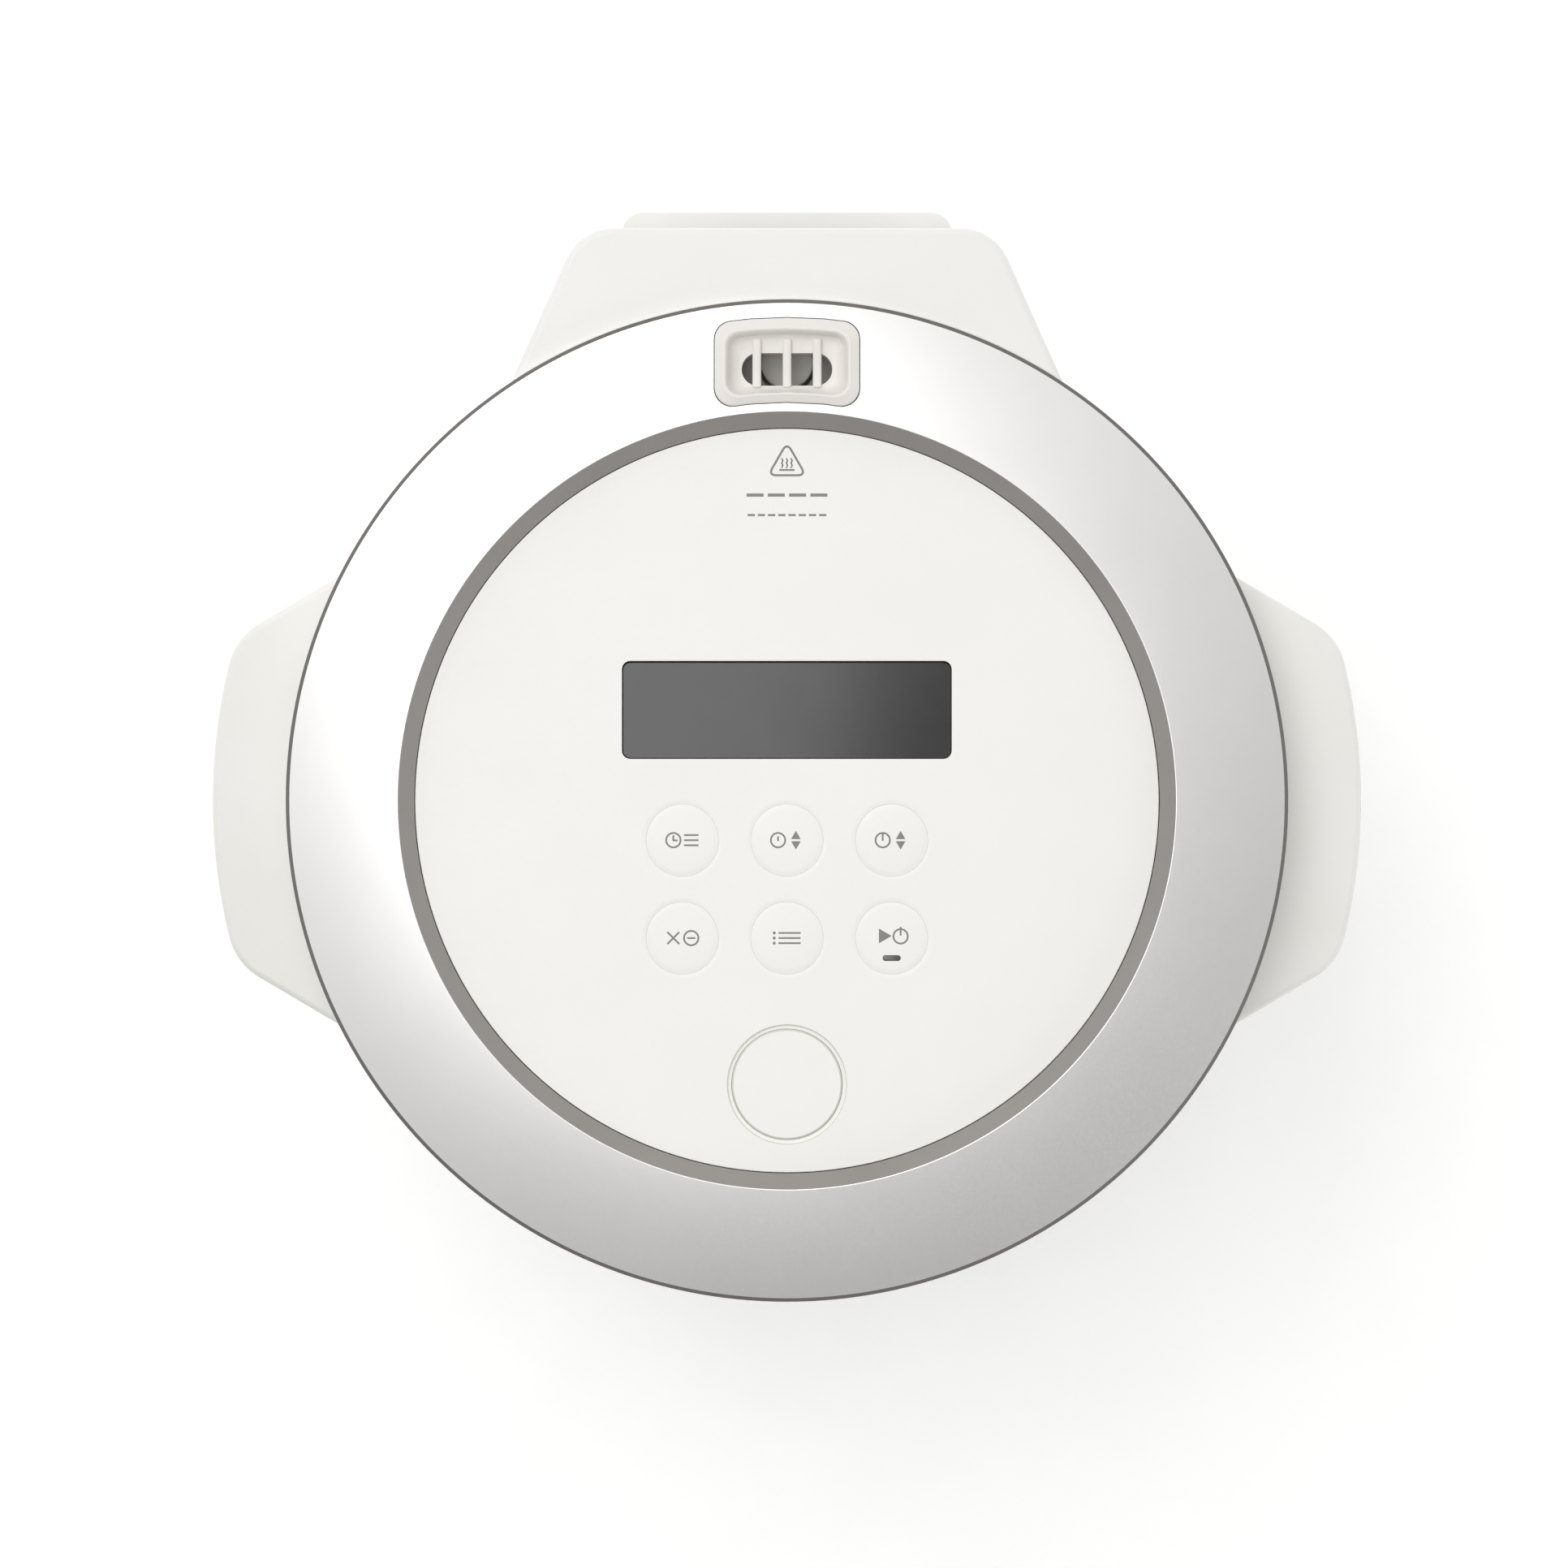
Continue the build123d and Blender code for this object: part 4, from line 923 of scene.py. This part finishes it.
@dataclass
class OpenButton:
    """Flat round cap that opens the lid, with a sloping rim."""

    edge: float = 0.2 * MM
    slope: float = 0.4 * MM
    rim_depth: float = 0.42 * MM
    thickness: float = 2.2 * MM
    skirt_depth: float = 9.6 * MM
    wall: float = 1.6 * MM
    stem_r: float = 4.0 * MM
    tip_r: float = 1.6 * MM
    tip: float = 1.1 * MM

    def build(self) -> None:
        """Spin the cap with its skirt and stem."""
        low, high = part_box("open_button")
        middle = centre_of("open_button")
        radius = (high.x - low.x) / 2
        skirt = high.z - self.skirt_depth
        plate = high.z - self.thickness
        corners: list[Corner] = [
            (0, low.z, 0), (self.tip_r, low.z, 0), (self.stem_r, low.z + self.tip, 0), (self.stem_r, plate, 0),
            (radius - self.wall, plate, 0), (radius - self.wall, skirt, 0), (radius, skirt, 0),
            (radius, high.z - self.rim_depth, 0), (radius - self.slope, high.z, self.edge),
            (radius * 0.5, high.z, 0), (0, high.z, 0),
        ]
        cap = lathe("open_button_cap", (middle.x, middle.y), rounded(corners, 5), 96)
        smooth(cap, 40)
        modify(cap, "WEIGHTED_NORMAL", keep_sharp=True)
        finish_piece(cap, PANEL_FILM, "open_button", "panel_white", "open_button")
        rim_r = (radius - self.slope - 0.2 * MM, radius + 0.05 * MM)
        # The cap's sloping rim takes painted shade
        paint(cap, RIM_SHADE_FILM, lambda face: rim_r[0] < reach(face, middle) < rim_r[1]
              and SLOPE[0] < face.normal.z < SLOPE[1])


@dataclass
class SteamCap:
    """Steam outlet: a raised lip round a sloping basin, with a slot and three ribs."""

    half_width: float = 17.0 * MM
    front_r: float = 93.5 * MM
    rear_r: float = 113.5 * MM
    corner: float = 4.3 * MM
    slot: Point = (21.3 * MM, 7.7 * MM)
    slot_y: float = 101.45 * MM
    rib: Point = (2.05 * MM, 11.6 * MM)
    rib_places: tuple[float, ...] = (-7.1 * MM, 0.0, 7.1 * MM)
    rib_y: float = 102.9 * MM
    rib_heights: Point = (-2.2 * MM, 1.7 * MM)
    lip_drop: float = 1.0 * MM
    basin_drop: float = 6.4 * MM
    rear_fall: Point = (0.9 * MM, 2.7 * MM)
    lip: tuple[Corner, ...] = (
        (0.12, 0.1, 0), (0.25, 0.14, 0), (1.1, 0.28, 0), (0.3, 0.18, 0), (0.25, 0.08, 0), (0.3, 0.0, 0),
    )
    basin: tuple[Corner, ...] = (
        (0.25, -0.1, -0.1), (0.25, -0.35, -0.1), (0.2, -0.8, -0.1), (0.35, -1.6, -0.1), (0.5, -1.2, -0.1),
        (0.7, -0.8, -0.15), (0.7, -0.5, -0.15), (0.9, -0.25, -0.1),
    )

    def outline(self, inset: float) -> list[Point]:
        """Outline of the cap: a piece of the ring with rounded corners, drawn in by an inset."""
        half = self.half_width - inset
        corners: list[Corner] = []
        for radius, way in ((self.front_r + inset, 1), (self.rear_r - inset, -1)):
            reach = math.asin(half / radius)
            for step in range(-2, 3):
                angle = way * reach * step / 2
                spot = (AXIS_X + radius * math.sin(angle), AXIS_Y + radius * math.cos(angle))
                corners.append((*spot, self.corner - inset / 2 if abs(step) == 2 else 0))
        return rounded(corners, 8, closed=True)

    def settle(self, piece: bpy.types.Object, base: float) -> None:
        """Lower a flat top towards the rear so that it follows the ring's dome."""
        for vertex in piece.data.vertices:
            radius = Vector((vertex.co.x - AXIS_X, vertex.co.y - AXIS_Y)).length
            part = (radius - self.front_r) / (self.rear_r - self.front_r)
            share = min(max((vertex.co.z - base) / (3 * MM), 0), 1)
            vertex.co.z -= share * (self.rear_fall[0] * part + self.rear_fall[1] * part * part)

    def build(self) -> None:
        """Raise the cap, sink its basin, cut the slot and lay the ribs."""
        low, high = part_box("steam_cap")
        floor = high.z - self.basin_drop
        steps = [tuple(v * MM for v in step) for step in (*self.lip, *self.basin)]
        cap = prism("steam_outlet", self.outline(0), low.z, high.z - self.lip_drop, steps)
        slot_low = (AXIS_X - self.slot[0] / 2, AXIS_Y + self.slot_y - self.slot[1] / 2, low.z - MM)
        slot_high = (AXIS_X + self.slot[0] / 2, AXIS_Y + self.slot_y + self.slot[1] / 2, high.z + MM)
        cut(cap, soft_box("slot_cutter", slot_low, slot_high, self.slot[1] * 0.49, 0, 8))
        self.settle(cap, floor)
        ribs = []
        for place_x in self.rib_places:
            middle = Vector((AXIS_X + place_x, AXIS_Y + self.rib_y, floor))
            half = (self.rib[0] / 2, self.rib[1] / 2)
            rib_low = middle + Vector((-half[0], -half[1], self.rib_heights[0]))
            rib_high = middle + Vector((half[0], half[1], self.rib_heights[1]))
            ribs.append(soft_box("rib", rib_low, rib_high, 0.6 * MM, 0.5 * MM, 4))
        cap = join("steam_outlet", [cap, *ribs])
        smooth(cap, 40)
        modify(cap, "WEIGHTED_NORMAL", keep_sharp=True)
        finish_piece(cap, CAP_ABS, "steam_cap", "body_white", "steam_cap")


@dataclass
class SteamSign:
    """Hot-steam sign and two plain lines behind the display."""

    rise: float = 80.0 * MM

    def build(self, panel: bpy.types.Object) -> None:
        """Draw a rounded triangle with three wisps over a line."""
        mark = Print("hot_steam_sign", (AXIS_X, AXIS_Y + self.rise), ABOVE_PANEL)
        mark.ring(0, -1.0, 5.6, 0.5, 3, corner=2.2)
        mark.bar(0, -2.3, 3.6, 0.45)
        for x in (-1.1, 0, 1.1):
            for step in range(4):
                mark.bar(x, -1.5 + 0.55 * step, 0.32, 0.75, 24 if step % 2 else -24)
        for place_x in (-7.5, -2.5, 2.5, 7.5):
            mark.bar(place_x, -8.2, 4.0, 0.75)
        for step in range(8):
            mark.bar(-8.4 + 2.4 * step, -12.9, 1.7, 0.5)
        mark.lay(panel, "lid")


@dataclass
class Housings:
    """Parts whose CAD shape is right and only needs its edges rounded."""

    edges: dict[str, float] = field(default_factory=lambda: {
        "lid_rear_cover": 0.5, "lid_base": 0.3, "grip_left": 0.4, "grip_right": 0.4, "shoulder_frame": 0.3,
        "outer_shell": 0.5, "dew_tray": 0.3, "base_plate": 0.4, "hinge_bracket": 0.4, "inlet_socket": 0.3,
        "hinge_arms": 0.2, "latch_lever": 0.25, "inner_pot": 0.3, "inner_lid": 0.25, "inner_lid_knob": 0.4,
        "inner_lid_gasket": 0.3, "sensor_cap": 0.1, "rubber_feet": 0.4,
    })

    step_depths: Point = (0.45 * MM, 1.2 * MM)

    def build(self) -> None:
        """Round each part's edges and dress it."""
        slots = {part["node"]: part["material_slot"] for part in frame["record"]["subparts"]}
        for node, edge in self.edges.items():
            piece = softened(node, edge * MM)
            finish_piece(piece, SLOT_FINISH[slots[node]], frame["nodes"][node]["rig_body"], slots[node], node)
            if node == "dew_tray":
                # The step in the tray's lip takes painted shade
                paint(piece, TRAY_STEP_SHADE, self.is_shaded_tray_step)

    def is_shaded_tray_step(self, face: bpy.types.MeshPolygon) -> bool:
        """Whether a face of the dew tray lies in its lip's shallow step, which takes the painted shade."""
        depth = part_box("dew_tray")[1].z - face.center.z
        return face.normal.z > 0.5 and self.step_depths[0] < depth < self.step_depths[1]


@dataclass
class Springs:
    """Coil springs on their fixed seats, each listed as node, press joint, body and travel."""

    seats: tuple[tuple[str, str, str, float], ...] = (
        ("button_spring", "open_button_press", "lid", 3 * MM), ("sensor_spring", "sensor_press", "body", 2 * MM),
    )

    def build(self) -> None:
        """Copy each spring, dress it as steel and let it ride on its body."""
        for node, joint, body, travel in self.seats:
            spring = softened(node, 0)
            finish_piece(spring, STEEL, body, "steel", node)
            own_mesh(spring)


@dataclass
class Studio:
    """Pale floor, soft light from the rear left with a low fill, and the camera straight above."""

    distance: float = 1.8
    frame_width: float = 0.3677
    sensor: float = 36.0
    shift_x: float = -0.7 * MM
    shift_y: float = 3.9 * MM
    floor_glow: float = 0.215
    sky_levels: tuple[Point, ...] = ((0.1, 0.215), (0.74, 0.93), (1.0, 0.6))
    sky_way: Corner = (-0.36, 0.933, 0.0)
    lights: tuple[tuple[str, Corner, float, float], ...] = (
        ("key", (-0.7, 1.1, 2.3), 1.3, 13.0), ("card", (-0.31, 0.06, 2.1), 0.7, 4.7),
        ("fill", (1.55, -1.3, 0.6), 0.8, 9.0),
    )

    def build(self) -> None:
        """Make the camera, the lights and the floor."""
        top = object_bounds()[1][2]
        camera_data = bpy.data.cameras.new("camera")
        camera = bpy.data.objects.new("camera", camera_data)
        bpy.context.scene.collection.objects.link(camera)
        camera_data.sensor_width = self.sensor
        camera_data.lens = self.sensor * self.distance / self.frame_width
        camera_data.dof.use_dof = False
        camera.location = (AXIS_X + self.shift_x, AXIS_Y + self.shift_y, top + self.distance)
        bpy.context.scene.camera = camera
        bpy.ops.object.select_all(action="DESELECT")
        bpy.ops.mesh.primitive_plane_add(size=6, location=(0, 0, 0))
        floor = bpy.context.active_object
        floor.name = "floor"
        paper = Finish("backdrop_paper_white", "fbfbfa", "f9f9f8", 0.9, grain=Grain.SPARK, grain_mm=2.0,
                       relief=0.01).build()
        glow = paper.node_tree.nodes["Principled BSDF"].inputs
        glow["Emission Color"].default_value = linear("ffffff")
        glow["Emission Strength"].default_value = self.floor_glow
        floor.data.materials.append(paper)
        floor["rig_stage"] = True
        for name, spot, size, power in self.lights:
            self.light(name, spot, size, power)
        self.sky()
        bpy.context.scene.view_settings.view_transform = "Standard"

    def sky(self) -> None:
        """Surround of white cards, brighter towards the rear left than towards the front right."""
        world = bpy.data.worlds.new("studio")
        bpy.context.scene.world = world
        world.use_nodes = True
        tree = world.node_tree
        way = add_node(tree, "ShaderNodeTexCoord").outputs["Generated"]
        lean = add_node(tree, "ShaderNodeVectorMath", {"operation": "DOT_PRODUCT", 1: self.sky_way}, {0: way})
        along = add_node(tree, "ShaderNodeMapRange", {"From Min": -1.0, "From Max": 1.0}, {0: lean.outputs["Value"]})
        stops = [(spot, (level, level, level, 1)) for spot, level in self.sky_levels]
        colour = ramp(tree, along.outputs["Result"], stops)
        tree.links.new(colour, tree.nodes["Background"].inputs["Color"])

    def light(self, name: str, spot: Sequence[float], size: float, power: float) -> None:
        """Add a square soft light aimed at the lid."""
        data = bpy.data.lights.new(name, "AREA")
        data.shape = "SQUARE"
        data.size = size
        data.energy = power
        lamp = bpy.data.objects.new(name, data)
        bpy.context.scene.collection.objects.link(lamp)
        lamp.location = spot
        aim = Vector((0, 0, 0.15)) - Vector(spot)
        lamp.rotation_euler = aim.to_track_quat("-Z", "Y").to_euler()


def dress_frame() -> None:
    """Give every CAD node the finish of its slot."""
    for part in frame["record"]["subparts"]:
        node = frame["nodes"][part["node"]]
        node.data.materials.clear()
        node.data.materials.append(SLOT_FINISH[part["material_slot"]].build())


def main() -> None:
    """Build the studio and every sub-assembly in order."""
    logging.basicConfig(level=logging.INFO)
    Studio().build()
    dress_frame()
    LidRing().build()
    panel = ControlPanel().build()
    DisplayWindow().build()
    for sign in Sign:
        Key(sign).build()
    OpenButton().build()
    SteamCap().build()
    SteamSign().build(panel)
    Housings().build()
    Springs().build()


if __name__ == "__main__":
    main()
